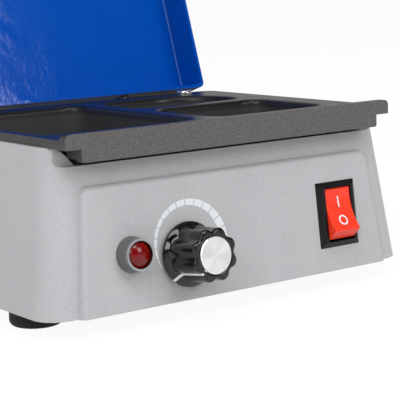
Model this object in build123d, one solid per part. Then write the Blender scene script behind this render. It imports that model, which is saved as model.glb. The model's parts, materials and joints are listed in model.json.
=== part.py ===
from build123d import *
import os
from math import cos, radians, sin, tan

# A dental laboratory wax heater. A hollow housing stands on four rubber feet and carries
# a cast tray with three wells, which a flat element heats from below. A hinged lid covers
# the tray. The front panel holds a lamp, a temperature knob and a rocker switch.
#
# Everything is in millimetres. X runs to the right, Y to the back and Z up. Z = 0 is the
# surface that it stands on. While it is built, Y = 0 is the front face of the tray. Every
# piece is moved along Y at the end, so that the origin lies under the middle of the whole.

# ---------------------------------------------------------------- driving dimensions

# clearances
running_fit = 0.05  # radial, between a shaft or a screw and its hole
slide_gap = 0.2  # between a piece and the opening that it goes through
seat_gap = 0.3  # between two pieces that meet only when something moves

# housing
foot_height = 5.9
housing_width = 132.8  # at its bottom edge
housing_depth = 100.0  # at its bottom edge
housing_height = 46.8
housing_lean = 6.7  # degrees that each wall leans in
housing_corner = 8.0
housing_wall = 3.0
housing_front = 1.4  # Y of the front wall's bottom edge
window_height = 5.3  # that the front wall is lower than the rim
window_step = 7.1  # depth of the cut across the whole front, behind the wall's bottom edge
window_corner = 2.0
window_top_inset = 8.8  # from the housing's side to the window, at the rim
window_low_inset = 14.4  # and at the sill
window_shoulder = 2.5  # drop of the shoulder's middle, 3.4 in from its top
window_shoulder_in = 3.4
rim_edge = 0.6

# raised panel on the front wall
panel_proud = 2.26
panel_bottom_width = 113.6
panel_top_width = 105.2
panel_top_margin = 10.8  # from the rim
panel_corner = 3.0
panel_draft = 18.0
panel_edge = 1.8

# posts in the housing, feet, base plate and base screws
post_side_inset = 10.9  # from the housing's bottom edges
post_front_inset = 25.4
post_back_inset = 20.2
post_radius = 4.5
post_height = 21.8
rib_width = 3.0
foot_radius = 7.9
foot_edge = 1.8
foot_recess_radius = 4.2
foot_recess_depth = 2.5
base_thickness = 1.2
base_gap = 0.4
slot_length = 36.0
slot_width = 2.5
slot_pitch = 7.0
slot_count = 5
base_screw_radius = 2.0
base_screw_length = 20.0
base_head_radius = 3.6
base_head_height = 2.2

# tray
tray_side_step = 1.85  # in from the housing's walls at their top
tray_back_step = 1.6
rim_thickness = 2.55
rim_corner = 4.0
lip_height = 4.3
lip_thickness = 2.8
lip_corner = 1.5
lip_root = 1.5
apron_inset = 5.0  # from the lip's ends
apron_height = 3.75
apron_corner = 0.7
apron_return = 2.2  # thickness of its two ends, which run back to the housing's wall
well_depth = 20.0
well_draft = 4.5
well_wall = 2.2
well_floor_radius = 3.0
well_edge = 1.8
well_small_corner = 6.6
well_large_share = 0.69  # of the rear right well's depth
well_front_y = 17.0
well_back_margin = 8.3  # from the tray's back edge
well_bridge = 6.0  # between the two right wells
front_well_share = 0.52174  # of the left well's depth
left_well_margin = 4.05  # from the tray's side
left_well_right_x = -2.5
right_wells_left_x = 5.0
front_well_margin = 10.5
rear_well_margin = 11.65
tray_screw_left_inset = 11.05
tray_screw_right_inset = 15.05
tray_screw_back_inset = 5.7
tray_screw_radius = 1.5
tray_screw_length = 10.0
tray_head_radius = 2.7
tray_head_height = 1.6
lug_radius = 3.2
lug_height = 10.0

# heating element under the wells, with its clamp plate
element_thickness = 2.5
element_margin = 4.0
clamp_thickness = 1.2
clamp_tab_width = 8.0
boss_radius = 3.2
boss_front_gap = 3.8  # from the wells' front edge
boss_left_inset = 7.0  # from the left well's left edge
boss_right_x = 22.0
boss_middle_x = 2.2
clamp_screw_radius = 1.5
clamp_screw_grip = 10.0
clamp_head_radius = 2.8
clamp_head_height = 2.0
pad_width = 60.0
pad_depth = 42.0
pad_thickness = 6.0
pad_behind = 2.5  # behind the wells' middle
cutout_width = 17.0
cutout_depth = 8.0
cutout_height = 5.0
cutout_x = -28.0
cutout_inset = 20.0  # from the wells' back edge

# lid and its two hinges
lid_angle = 107.67  # degrees from closed to open
lid_side_inset = 0.05  # from the tray's side
lid_height = 13.5
lid_sheet = 1.0
lid_bend = 1.5
lid_corner = 2.0
lip_clearance = 0.6  # between the tray's lip and the closed lid
finger_width = 40.0
finger_reach = 7.0
finger_corner = 3.0
hinge_side_inset = 31.4  # from the housing's side
hinge_length = 20.0
hinge_middle = 7.0
hinge_gap = 0.2
hinge_sheet = 0.7
knuckle_radius = 1.3
hinge_offset = 1.5  # from the pin's axis to the lid's outer face
hinge_rise = 0.37  # of the closed lid's edge over the pin's axis
hinge_pin_radius = 0.65
hinge_pin_head = 0.6
lid_leaf_height = 10.0
housing_leaf_height = 13.0
hinge_fixing_spacing = 11.0
rivet_radius = 1.0
rivet_head_radius = 1.9
rivet_head_height = 0.8
hinge_screw_radius = 1.2
hinge_screw_length = 3.2
hinge_head_radius = 2.2
hinge_head_height = 1.3

# lamp
lamp_x = -38.8
lamp_share = 0.4278  # of the raised panel's height
lamp_base_radius = 5.2
lamp_front_radius = 4.5
lamp_height = 4.7
lens_radius = 3.9
lens_seat = 1.5
lens_straight = 3.6
lens_dome = 1.9
lamp_body_radius = 4.0
lamp_body_length = 14.0
lamp_nut_flats = 10.0
lamp_nut_height = 2.4

# thermostat, its sensor and the knob
knob_x = -20.0
knob_share = 0.3583
knob_gap = 1.0
skirt_radius = 9.45
skirt_height = 1.5
skirt_slope = 2.6
grip_bottom_radius = 8.2
grip_top_radius = 7.9
grip_top = 13.7
grip_edge = 0.8
flute_count = 8
flute_radius = 2.8
flute_depth = 1.1
knob_recess_radius = 7.7
knob_recess_top = 4.0
disc_radius = 5.35
disc_height = 0.5
bushing_radius = 4.6
bushing_bottom = 4.6
bushing_top = 11.6
shaft_radius = 3.0
shaft_top = 11.2
shaft_bottom = -8.0
set_screw_radius = 1.25
set_screw_outer = 6.4
set_screw_level = 6.6
thermostat_width = 24.0
thermostat_height = 17.4
thermostat_depth = 20.0
neck_radius = 4.5
neck_top = 3.5
washer_radius = 7.2
washer_thickness = 0.6
nut_flats = 12.0
nut_height = 2.2
bulb_radius = 2.0
bulb_length = 50.0
bulb_x = -6.0
bulb_front = 6.5  # in front of the middle clamp screw
clip_thickness = 0.8
clip_width = 8.0
capillary_radius = 0.8
capillary_bend = 4.0

# rocker switch
switch_x = 37.9
switch_share = 0.475
bezel_width = 15.7
bezel_height = 20.3
bezel_proud = 1.4
bezel_draft = 50.0
bezel_opening = 8.35  # half its height: it clears the rocker's ends in both places
switch_body_width = 12.9
switch_body_height = 19.2
switch_body_depth = 13.0
switch_back = 1.5
rocker_width = 10.0
rocker_half_length = 6.7
rocker_end_proud = 3.05
rocker_middle_proud = 1.65
rocker_waist = 8.4
rocker_waist_depth = 0.9
rocker_foot = 6.0
rocker_foot_depth = 5.5
rocker_pivot_depth = 2.9
rocker_throw = 30.2
rocker_edge = 0.5
trunnion_radius = 1.0
trunnion_length = 0.9
blade_width = 4.8
blade_thickness = 0.8
blade_length = 6.3
blade_pitch = 5.5

# power inlet in the back wall, and the earth screw
inlet_side_inset = 36.4  # from the housing's side
inlet_rise = 12.6  # over the housing's bottom edge
inlet_flange_width = 50.0
inlet_flange_height = 22.0
inlet_flange_thickness = 3.0
inlet_flange_corner = 4.0
inlet_body_width = 27.0
inlet_body_height = 19.4
inlet_body_depth = 14.0
inlet_body_corner = 3.0
socket_width = 24.0
socket_height = 16.4
socket_depth = 15.0
pin_width = 2.0
pin_height = 4.0
pin_spacing = 7.0
pin_rise = 2.0
pin_tip = 3.0
pin_tail = 7.0
inlet_screw_spacing = 40.0
inlet_screw_radius = 1.5
inlet_screw_length = 10.0
inlet_head_radius = 2.8
inlet_head_height = 1.7
inlet_nut_flats = 5.5
inlet_nut_height = 2.4
earth_side_inset = 20.4
earth_behind = 4.6  # behind the housing's middle
earth_radius = 2.0
earth_length = 9.0
earth_head_radius = 3.5
earth_head_height = 2.0
earth_nut_flats = 7.0
earth_nut_height = 3.0
wire_radius = 0.9
wire_bend = 5.0
inlet_run = 10.0  # straight, from a pin's tail
feed_run = 12.0  # straight, to the switch's lower blade
load_run = 9.0  # straight, from its middle blade
case_run = 10.0  # straight, to the thermostat's back
case_tap_right = 7.0  # from the thermostat's axis
case_tap_rise = 2.0

# ---------------------------------------------------------------- derived levels

lean = radians(housing_lean)
post_x = housing_width / 2 - post_side_inset
post_front_y = housing_front + post_front_inset
post_back_y = housing_front + housing_depth - post_back_inset
rim_lean = housing_height * tan(lean)
tray_width = housing_width - 2 * (rim_lean + tray_side_step)
tray_depth = housing_front + housing_depth - rim_lean - tray_back_step
apron_width = tray_width - 2 * apron_inset
lid_width = tray_width - 2 * lid_side_inset
well_back_y = tray_depth - well_back_margin
front_well_back_y = well_front_y + front_well_share * (well_back_y - well_front_y)
rear_well_front_y = front_well_back_y + well_bridge
well_large_corner = well_large_share * (well_back_y - rear_well_front_y)
left_well_left_x = left_well_margin - tray_width / 2
front_well_right_x = tray_width / 2 - front_well_margin
rear_well_right_x = tray_width / 2 - rear_well_margin
tray_screw_left_x = tray_screw_left_inset - tray_width / 2
tray_screw_right_x = tray_width / 2 - tray_screw_right_inset
tray_screw_y = tray_depth - tray_screw_back_inset
boss_front_y = well_front_y - boss_front_gap
boss_left_x = left_well_left_x + boss_left_inset
boss_middle_y = front_well_back_y + well_bridge / 2
bulb_y = boss_middle_y - bulb_front
pad_y = (well_front_y + well_back_y) / 2 + pad_behind
cutout_y = well_back_y - cutout_inset
earth_x = housing_width / 2 - earth_side_inset
earth_y = housing_front + housing_depth / 2 + earth_behind
panel_height = housing_height - panel_top_margin
lamp_z = foot_height + lamp_share * panel_height
knob_z = foot_height + knob_share * panel_height
switch_z = foot_height + switch_share * panel_height
inlet_x = round(housing_width / 2 - inlet_side_inset, 6)
inlet_z = foot_height + inlet_rise
rim_z = foot_height + housing_height
deck_z = rim_z + rim_thickness
lip_z = rim_z + lip_height
window_z = rim_z - window_height
window_y = housing_front + window_step
base_top_z = foot_height + base_thickness
post_top_z = base_top_z + post_height
well_floor_z = deck_z - well_depth
cup_bottom_z = well_floor_z - well_wall
element_z = cup_bottom_z - element_thickness
clamp_z = element_z - clamp_thickness
level_wall = housing_wall / cos(lean)  # the leaning wall's thickness along X or Y
housing_middle_y = housing_front + housing_depth / 2
hinge_x = round(housing_width / 2 - hinge_side_inset, 6)
hinge_y = tray_depth + hinge_offset
hinge_z = deck_z + seat_gap - hinge_rise
lid_edge_z = deck_z + seat_gap
lid_front_y = lip_thickness + lip_clearance
lid_top_z = lid_edge_z + lid_height
post_places = {
    "front_left": (-post_x, post_front_y),
    "front_right": (post_x, post_front_y),
    "back_left": (-post_x, post_back_y),
    "back_right": (post_x, post_back_y),
}
tray_screw_places = [(tray_screw_left_x, tray_screw_y), (tray_screw_right_x, tray_screw_y)]
clamp_places = [
    (boss_left_x, boss_front_y),
    (boss_right_x, boss_front_y),
    (boss_middle_x, boss_middle_y),
]
hinge_places = {"left": -hinge_x, "right": hinge_x}

# ---------------------------------------------------------------- helpers


def lean_in(z):
    """How far the walls have leaned in at height z."""
    return (z - foot_height) * tan(lean)


def side_x(z):
    """X of the right wall's outer face at height z."""
    return housing_width / 2 - lean_in(z)


def front_y(z):
    """Y of the front wall's outer face at height z."""
    return housing_front + lean_in(z)


def back_y(z):
    """Y of the back wall's outer face at height z."""
    return housing_front + housing_depth - lean_in(z)


def on_front(x, z, out=0.0):
    """A plane on the front wall: its x runs right, its y up the wall and its z outwards."""
    wall = Plane(origin=(x, front_y(z), z), x_dir=(1, 0, 0), z_dir=(0, -cos(lean), sin(lean)))
    return wall.offset(out)


def on_panel(x, z):
    """The same plane on the raised panel."""
    return on_front(x, z, panel_proud)


def on_back(x, z):
    """A plane on the back wall, seen from behind: its z runs outwards."""
    return Plane(origin=(x, back_y(z), z), x_dir=(-1, 0, 0), z_dir=(0, cos(lean), sin(lean)))


def box_between(low, high):
    """A box from its low corner to its high corner."""
    size = [b - a for a, b in zip(low, high)]
    middle = [(a + b) / 2 for a, b in zip(low, high)]
    return Pos(*middle) * Box(*size)


def rod(radius, low, high):
    """A cylinder on the Z axis from low to high."""
    return Pos(0, 0, (low + high) / 2) * Cylinder(radius, high - low)


def ring(outer, inner, low, high):
    """A tube on the Z axis from low to high."""
    return rod(outer, low, high) - rod(inner, low, high)


def rod_along_x(radius, low, high):
    """A cylinder on the X axis from low to high."""
    return Pos((low + high) / 2, 0, 0) * Rot(0, 90, 0) * Cylinder(radius, high - low)


def hexagon(flats, low, high):
    """A hexagonal prism on the Z axis from low to high."""
    outline = RegularPolygon(flats / 2, 6, major_radius=False)
    return Pos(0, 0, low) * extrude(outline, amount=high - low)


def pan_screw(radius, length, head_radius, head_height, drive_width=0.0):
    """A screw that points down -Z from its seat at Z = 0, with a rounded head above it."""
    head = rod(head_radius, 0, head_height)
    head = fillet(head.edges().group_by(Axis.Z)[-1], head_height * 0.6)
    if drive_width:
        for angle in (0, 90):
            arm = Box(head_radius * 1.1, drive_width, head_height)
            head -= Pos(0, 0, head_height) * Rot(0, 0, angle) * arm
    return head + rod(radius, -length, 0)


def hollow_nut(flats, radius, low, high):
    """A hexagonal nut on the Z axis from low to high."""
    return hexagon(flats, low, high) - rod(radius + running_fit, low, high)


def leaning_block(inset, low, high, corner):
    """A block that leans in like the housing, inset from its outer faces."""
    sections = []
    for z in (low, high):
        width = 2 * (side_x(z) - inset)
        depth = housing_depth - 2 * (lean_in(z) + inset)
        sections.append(Pos(0, housing_middle_y, z) * RectangleRounded(width, depth, corner))
    return loft(sections, ruled=True)


def bent_rod(radius, points, bend):
    """A round rod along points, with each corner bent to the same radius."""
    path = FilletPolyline(*points, radius=bend)
    section = Plane(origin=path @ 0, z_dir=path % 0) * Circle(radius)
    return sweep(section, path=path)


def opened(piece):
    """Turns a piece of the closed lid to its open place."""
    axis = Pos(0, hinge_y, hinge_z)
    return axis * Rot(-lid_angle, 0, 0) * Pos(0, -hinge_y, -hinge_z) * piece


def pair(shapes):
    """Several separate solids as one group."""
    return Compound(children=list(shapes))


# ---------------------------------------------------------------- housing and base


def panel_outline(inset, length):
    """The raised panel's outline on the front wall, with its bottom at the wall's edge."""
    low = panel_bottom_width / 2 - inset
    high = panel_top_width / 2 - inset
    top = length - inset
    slope = (low - high) / length
    drop = panel_proud * 2
    points = [(-low - slope * drop, -drop), (low + slope * drop, -drop), (high, top), (-high, top)]
    outline = make_face(Polyline(*points, close=True))
    corners = outline.vertices().group_by(Axis.Y)[-1]
    return fillet(corners, max(panel_corner - inset, rim_edge))


def raised_panel():
    """The pad that stands proud of the front wall and runs down to its bottom edge."""
    pad = extrude(panel_outline(0, panel_height), amount=panel_proud, taper=panel_draft)
    outer = pad.faces().sort_by(Axis.Z)[-1]
    edges = outer.edges().sort_by(Axis.Y)[1:]
    pad = fillet(edges, panel_edge)
    pad = on_front(0, foot_height) * pad
    below = box_between(
        (-housing_width, -housing_depth, -housing_height), (housing_width, housing_depth, foot_height)
    )
    return pad - below


def panel_pocket():
    """The hollow behind the raised panel, which keeps the wall's thickness."""
    outline = panel_outline(housing_wall, panel_height)
    upper = Pos(0, housing_height) * Rectangle(housing_width, 2 * (housing_height - housing_wall))
    hollow = extrude(outline & upper, amount=panel_proud)
    return on_front(0, foot_height, -housing_wall) * hollow


def tray_lug(x):
    """The lug on the back wall that a tray screw goes into."""
    round_part = Pos(x, tray_screw_y, 0) * rod(lug_radius, rim_z - lug_height, rim_z)
    web = box_between(
        (x - lug_radius, tray_screw_y, rim_z - lug_height),
        (x + lug_radius, back_y(rim_z) - housing_wall / 2, rim_z),
    )
    return round_part + web


def base_post(x, y):
    """The post that a base screw goes into, joined to the side wall by a rib."""
    post = Pos(x, y, 0) * rod(post_radius, base_top_z, post_top_z)
    side = 1 if x > 0 else -1
    wall_x = side * (side_x(post_top_z) - housing_wall / 2)
    rib = box_between(
        (min(x, wall_x), y - rib_width / 2, base_top_z), (max(x, wall_x), y + rib_width / 2, post_top_z)
    )
    return post + rib


def front_holes():
    """The holes in the raised panel for the lamp, the thermostat's neck and the switch."""
    deep = 2 * housing_wall
    lamp = on_panel(lamp_x, lamp_z) * rod(lamp_body_radius + slide_gap, -deep, deep)
    neck = on_panel(knob_x, knob_z) * rod(neck_radius + slide_gap, -deep, deep)
    cut = Box(switch_body_width + 2 * slide_gap, switch_body_height + 2 * slide_gap, 2 * deep)
    return lamp + neck + on_panel(switch_x, switch_z) * cut


def back_holes():
    """The holes in the back wall for the power inlet and for the screws near it."""
    deep = 2 * housing_wall
    place = on_back(inlet_x, inlet_z)
    cut = extrude(
        RectangleRounded(
            inlet_body_width + 2 * slide_gap, inlet_body_height + 2 * slide_gap, inlet_body_corner
        ),
        amount=deep,
        both=True,
    )
    holes = place * cut
    for side in (-1, 1):
        hole = rod(inlet_screw_radius + running_fit, -deep, deep)
        holes += place * Pos(side * inlet_screw_spacing / 2, 0, 0) * hole
    for place in hinge_screw_planes():
        holes += place * rod(hinge_screw_radius + running_fit, -deep, deep)
    return holes


def front_window():
    """The cut that lowers the front wall: a step across the front, then a window with round shoulders."""
    step = box_between(
        (-housing_width, -housing_depth, window_z), (housing_width, window_y, rim_z + lip_height)
    )
    inner_edge = step.edges().filter_by(Axis.X).sort_by(lambda e: e.center().Y - e.center().Z)[-1]
    step = fillet(inner_edge, window_corner)
    top = housing_width / 2 - window_top_inset
    low = housing_width / 2 - window_low_inset
    middle = (top - window_shoulder_in, rim_z - window_shoulder)
    right = ThreePointArc((low, window_z), middle, (top, rim_z))
    left = ThreePointArc((-top, rim_z), (-middle[0], middle[1]), (-low, window_z))
    above = Polyline((top, rim_z), (top, lip_z), (-top, lip_z), (-top, rim_z))
    outline = make_face(right + above + left + Line((-low, window_z), (low, window_z)))
    back = front_y(rim_z) + level_wall + housing_corner - housing_wall
    behind = Plane(origin=(0, back, 0), x_dir=(1, 0, 0), z_dir=(0, -1, 0))
    return step + extrude(behind * outline, amount=back)


def housing():
    """The hollow housing: four leaning walls, open at the top and at the bottom."""
    body = leaning_block(0, foot_height, rim_z, housing_corner)
    rim_edges = body.edges().group_by(Axis.Z)[-1]
    body = fillet(rim_edges, rim_edge)
    body += raised_panel()
    inner_corner = housing_corner - housing_wall
    body -= leaning_block(level_wall, foot_height - 1, rim_z + 1, inner_corner)
    body -= panel_pocket()
    body -= front_window()
    for x, y in tray_screw_places:
        body += tray_lug(x)
        body -= Pos(x, y, rim_z) * rod(tray_screw_radius + running_fit, -tray_screw_length, 1)
    for x, y in post_places.values():
        body += base_post(x, y)
        screw_top = base_screw_length + foot_recess_depth
        body -= Pos(x, y, 0) * rod(base_screw_radius + running_fit, 0, screw_top + 1)
    return body - front_holes() - back_holes()


def base_plate():
    """The sheet that closes the bottom, with vent slots and holes for its screws."""
    inset = level_wall + base_gap
    plate = leaning_block(inset, foot_height, base_top_z, housing_corner - housing_wall)
    for number in range(slot_count):
        y = housing_middle_y + (number - (slot_count - 1) / 2) * slot_pitch
        for side in (-1, 1):
            slot = extrude(SlotOverall(slot_length, slot_width), amount=housing_height, both=True)
            plate -= Pos(side * housing_width / 4, y, foot_height) * slot
    for x, y in post_places.values():
        plate -= Pos(x, y, 0) * rod(base_screw_radius + running_fit, 0, housing_height)
    return plate - Pos(earth_x, earth_y, 0) * rod(earth_radius + running_fit, 0, housing_height)


def foot(x, y):
    """One rubber foot, recessed for its screw's head."""
    body = rod(foot_radius, 0, foot_height)
    body = fillet(body.edges().group_by(Axis.Z)[0], foot_edge)
    body -= rod(foot_recess_radius, 0, foot_recess_depth)
    body -= rod(base_screw_radius + running_fit, 0, foot_height)
    return Pos(x, y, 0) * body


def base_screws():
    """Four screws that hold the feet and the base plate to the posts."""
    screw = pan_screw(base_screw_radius, base_screw_length, base_head_radius, base_head_height, 1.0)
    place = Pos(0, 0, foot_recess_depth) * Rot(180, 0, 0)
    return pair(Pos(x, y, 0) * place * screw for x, y in post_places.values())


# ---------------------------------------------------------------- tray and heating


def well_outline(left, right, front, back, wide_x=None):
    """A well's outline at the deck. Its back corner at X = wide_x has the large radius."""

    def is_wide(corner):
        at_side = wide_x is not None and abs(corner.X - wide_x) < 0.01
        return at_side and abs(corner.Y - back) < 0.01

    outline = Pos((left + right) / 2, (front + back) / 2) * Rectangle(right - left, back - front)
    small = [corner for corner in outline.vertices() if not is_wide(corner)]
    outline = fillet(small, well_small_corner)
    wide = [corner for corner in outline.vertices() if is_wide(corner)]
    return fillet(wide, well_large_corner) if wide else outline


def well_outlines():
    """The three wells: one long one on the left, two shorter ones on the right."""
    return [
        well_outline(left_well_left_x, left_well_right_x, well_front_y, well_back_y, left_well_left_x),
        well_outline(right_wells_left_x, front_well_right_x, well_front_y, front_well_back_y),
        well_outline(
            right_wells_left_x, rear_well_right_x, rear_well_front_y, well_back_y, rear_well_right_x
        ),
    ]


def tray():
    """The cast tray: a flat rim, a front lip with an apron below it, and three wells."""
    rim = box_between((-tray_width / 2, 0, rim_z), (tray_width / 2, tray_depth, deck_z))
    back_corners = rim.edges().filter_by(Axis.Z).group_by(Axis.Y)[-1]
    body = fillet(back_corners, rim_corner)
    lip = box_between((-tray_width / 2, 0, rim_z), (tray_width / 2, lip_thickness, lip_z))
    body += fillet(lip.edges().filter_by(Axis.Y), lip_corner)
    apron = box_between(
        (-apron_width / 2, 0, rim_z - apron_height), (apron_width / 2, lip_thickness, deck_z)
    )
    body += fillet(apron.edges().filter_by(Axis.Y).group_by(Axis.Z)[0], apron_corner)
    for edge in (-apron_width / 2, apron_width / 2 - apron_return):
        body += box_between(
            (edge, 0, rim_z - apron_height + apron_corner),
            (edge + apron_return, window_y - seat_gap, deck_z),
        )
    for outline in well_outlines():
        cup = Pos(0, 0, deck_z) * offset(outline, well_wall)
        body += extrude(cup, amount=-(well_depth + well_wall), taper=well_draft)
    for x, y in clamp_places:
        low = clamp_z + clamp_thickness if y == boss_front_y else cup_bottom_z
        body += Pos(x, y, 0) * rod(boss_radius, low, rim_z)
    for outline in well_outlines():
        well = extrude(Pos(0, 0, deck_z) * outline, amount=-well_depth, taper=well_draft)
        floor_edges = well.edges().group_by(Axis.Z)[0]
        body -= fillet(floor_edges, well_floor_radius)
    body = soften_deck(body)
    for x, y in clamp_places:
        body -= Pos(x, y, clamp_z) * rod(clamp_screw_radius + running_fit, 0, clamp_screw_grip + 1)
    for x, y in tray_screw_places:
        body -= Pos(x, y, 0) * rod(tray_screw_radius + running_fit, rim_z, lip_z)
    return body


def soften_deck(body):
    """Rounds the wells' top edges and the root of the lip."""

    def around_well(edge):
        centre = edge.center()
        inside = well_front_y - 1 < centre.Y < well_back_y + 1 and abs(centre.X) < tray_width / 2 - 1
        return inside and abs(centre.Z - deck_z) < 0.01

    def lip_foot(edge):
        centre = edge.center()
        return abs(centre.Y - lip_thickness) < 0.01 and abs(centre.Z - deck_z) < 0.01

    body = fillet(body.edges().filter_by(around_well), well_edge)
    return fillet(body.edges().filter_by(lip_foot), lip_root)


def tray_screws():
    """Two screws that hold the tray's back edge to the housing's lugs."""
    screw = pan_screw(
        tray_screw_radius, tray_screw_length, tray_head_radius, tray_head_height, 0.7
    )
    return pair(Pos(x, y, deck_z) * screw for x, y in tray_screw_places)


def heating_element():
    """The flat element that lies against the undersides of the wells."""
    plate = box_between(
        (left_well_left_x + element_margin, well_front_y + element_margin, element_z),
        (rear_well_right_x - element_margin, well_back_y - element_margin, cup_bottom_z),
    )
    hole = rod(clamp_screw_radius + slide_gap, element_z, cup_bottom_z)
    return plate - Pos(boss_middle_x, boss_middle_y, 0) * hole


def clamp_plate():
    """The sheet that holds the element up, with two tabs to the front bosses."""
    plate = box_between(
        (left_well_left_x + element_margin, well_front_y + element_margin, clamp_z),
        (rear_well_right_x - element_margin, well_back_y - element_margin, element_z),
    )
    for x in (boss_left_x, boss_right_x):
        plate += box_between(
            (x - clamp_tab_width / 2, boss_front_y - clamp_tab_width / 2, clamp_z),
            (x + clamp_tab_width / 2, well_front_y + 2 * element_margin, element_z),
        )
    for x, y in clamp_places:
        plate -= Pos(x, y, 0) * rod(clamp_screw_radius + running_fit, clamp_z, element_z)
    return plate


def clamp_screws():
    """Three screws that hold the clamp plate to the tray's bosses."""
    screw = Rot(180, 0, 0) * pan_screw(
        clamp_screw_radius, clamp_screw_grip, clamp_head_radius, clamp_head_height
    )
    screws = []
    for x, y in clamp_places:
        drop = clip_thickness if y == boss_middle_y else 0
        screws.append(Pos(x, y, clamp_z - drop) * screw)
    return pair(screws)


def insulation_pad():
    """A pad on the base plate that keeps the heat off the bench."""
    low = (-pad_width / 2, pad_y - pad_depth / 2, base_top_z)
    return box_between(low, (pad_width / 2, pad_y + pad_depth / 2, base_top_z + pad_thickness))


def thermal_cutout():
    """The safety cut-out, which sits against the clamp plate."""
    body = box_between(
        (cutout_x - cutout_width / 2, cutout_y - cutout_depth / 2, clamp_z - cutout_height),
        (cutout_x + cutout_width / 2, cutout_y + cutout_depth / 2, clamp_z),
    )
    return fillet(body.edges().filter_by(Axis.Z), 1.0)


# ---------------------------------------------------------------- lid and hinges


def lid():
    """The folded sheet lid, with a finger lip on its front edge."""
    low = (-lid_width / 2, lid_front_y, lid_edge_z)
    high = (lid_width / 2, tray_depth, lid_top_z)
    shell = box_between(low, high)
    shell = fillet(shell.edges().filter_by(Axis.Z), lid_corner)
    shell = fillet(shell.edges().group_by(Axis.Z)[-1], lid_bend)
    inside = box_between(
        (low[0] + lid_sheet, low[1] + lid_sheet, low[2] - 1),
        (high[0] - lid_sheet, high[1] - lid_sheet, high[2] - lid_sheet),
    )
    inside = fillet(inside.edges().filter_by(Axis.Z), lid_corner - lid_sheet)
    inside = fillet(inside.edges().group_by(Axis.Z)[-1], lid_bend - lid_sheet)
    finger = box_between(
        (-finger_width / 2, lid_front_y - finger_reach, lid_top_z - lid_sheet),
        (finger_width / 2, lid_front_y + lid_bend, lid_top_z),
    )
    finger = fillet(finger.edges().filter_by(Axis.Z).group_by(Axis.Y)[0], finger_corner)
    body = shell + finger - inside
    for x, z in rivet_places():
        body -= Pos(x, tray_depth, z) * Rot(90, 0, 0) * rod(rivet_radius, -lid_sheet, 2 * lid_sheet)
    return opened(body)


def hinge_fixing_x():
    """X of the four fixings on one side of the hinges."""
    half = hinge_fixing_spacing / 2
    return [middle + step for middle in hinge_places.values() for step in (-half, half)]


def rivet_places():
    """X and Z of the four rivets on the closed lid's back."""
    z = lid_edge_z + lid_leaf_height - 3 * rivet_head_radius / 2
    return [(x, z) for x in hinge_fixing_x()]


def lid_rivets():
    """Four rivets through the lid's back and its hinge leaves."""
    rivets = []
    for x, z in rivet_places():
        shank = rod(rivet_radius, -hinge_sheet, lid_sheet)
        outer = rod(rivet_head_radius, -hinge_sheet - rivet_head_height, -hinge_sheet)
        outer = fillet(outer.edges().group_by(Axis.Z)[0], rivet_head_height * 0.6)
        inner = rod(rivet_head_radius, lid_sheet, lid_sheet + rivet_head_height)
        inner = fillet(inner.edges().group_by(Axis.Z)[-1], rivet_head_height * 0.6)
        place = Pos(x, tray_depth, z) * Rot(90, 0, 0)
        rivets.append(opened(place * (shank + outer + inner)))
    return pair(rivets)


def knuckle(x, length):
    """One knuckle of a hinge about the pin's axis, with its middle at x."""
    place = Pos(0, hinge_y, hinge_z)
    return place * rod_along_x(knuckle_radius, x - length / 2, x + length / 2)


def pin_bore(x, extra):
    """The hole for a hinge pin."""
    half = hinge_length / 2 + 1
    return Pos(0, hinge_y, hinge_z) * rod_along_x(hinge_pin_radius + extra, x - half, x + half)


def hinge_lid_leaf(x):
    """The leaf that is riveted to the lid's back, with the hinge's middle knuckle."""
    plate = box_between(
        (x - hinge_length / 2, tray_depth, lid_edge_z),
        (x + hinge_length / 2, tray_depth + hinge_sheet, lid_edge_z + lid_leaf_height),
    )
    plate = fillet(plate.edges().filter_by(Axis.Y).group_by(Axis.Z)[-1], 2.0)
    room = knuckle_radius + hinge_gap
    outer_length = (hinge_length - hinge_middle) / 2
    for side in (-1, 1):
        middle = x + side * (hinge_length - outer_length) / 2
        space = rod_along_x(room, middle - outer_length / 2, middle + outer_length / 2)
        plate -= Pos(0, hinge_y, hinge_z) * space
    leaf = plate + knuckle(x, hinge_middle - hinge_gap)
    leaf -= pin_bore(x, running_fit)
    for rivet_x, z in rivet_places():
        leaf -= Pos(rivet_x, tray_depth, z) * Rot(90, 0, 0) * rod(rivet_radius, -2, 2)
    return opened(leaf)


def hinge_screw_planes():
    """Planes on the back wall where the hinge screws go in."""
    z = rim_z - housing_leaf_height + 2 * hinge_head_radius
    return [on_back(x, z) for x in hinge_fixing_x()]


def hinge_housing_leaf(x):
    """The leaf that is screwed to the back wall, with the hinge's two outer knuckles."""
    outer = hinge_y + knuckle_radius
    inner = outer - hinge_sheet
    bend_z = foot_height + (housing_front + housing_depth - inner) / tan(lean)
    low_z = rim_z - housing_leaf_height
    step = hinge_sheet / cos(lean)
    points = [
        (back_y(low_z), low_z),
        (back_y(low_z) + step, low_z),
        (outer, bend_z + (outer - inner - step) / tan(lean)),
        (outer, hinge_z),
        (inner, hinge_z),
        (inner, bend_z),
    ]
    outline = make_face(Polyline(*[(y, z) for y, z in points], close=True))
    section = Plane(origin=(x - hinge_length / 2, 0, 0), x_dir=(0, 1, 0), z_dir=(1, 0, 0)) * outline
    leaf = extrude(section, amount=hinge_length)
    room = knuckle_radius + hinge_gap
    space = rod_along_x(room, x - hinge_middle / 2, x + hinge_middle / 2)
    leaf -= Pos(0, hinge_y, hinge_z) * space
    outer_length = (hinge_length - hinge_middle) / 2
    for side in (-1, 1):
        middle = x + side * (hinge_length - outer_length) / 2
        leaf += knuckle(middle, outer_length)
    leaf -= pin_bore(x, 0)
    for place in hinge_screw_planes():
        leaf -= place * rod(hinge_screw_radius + running_fit, -1, 2)
    return leaf


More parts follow.
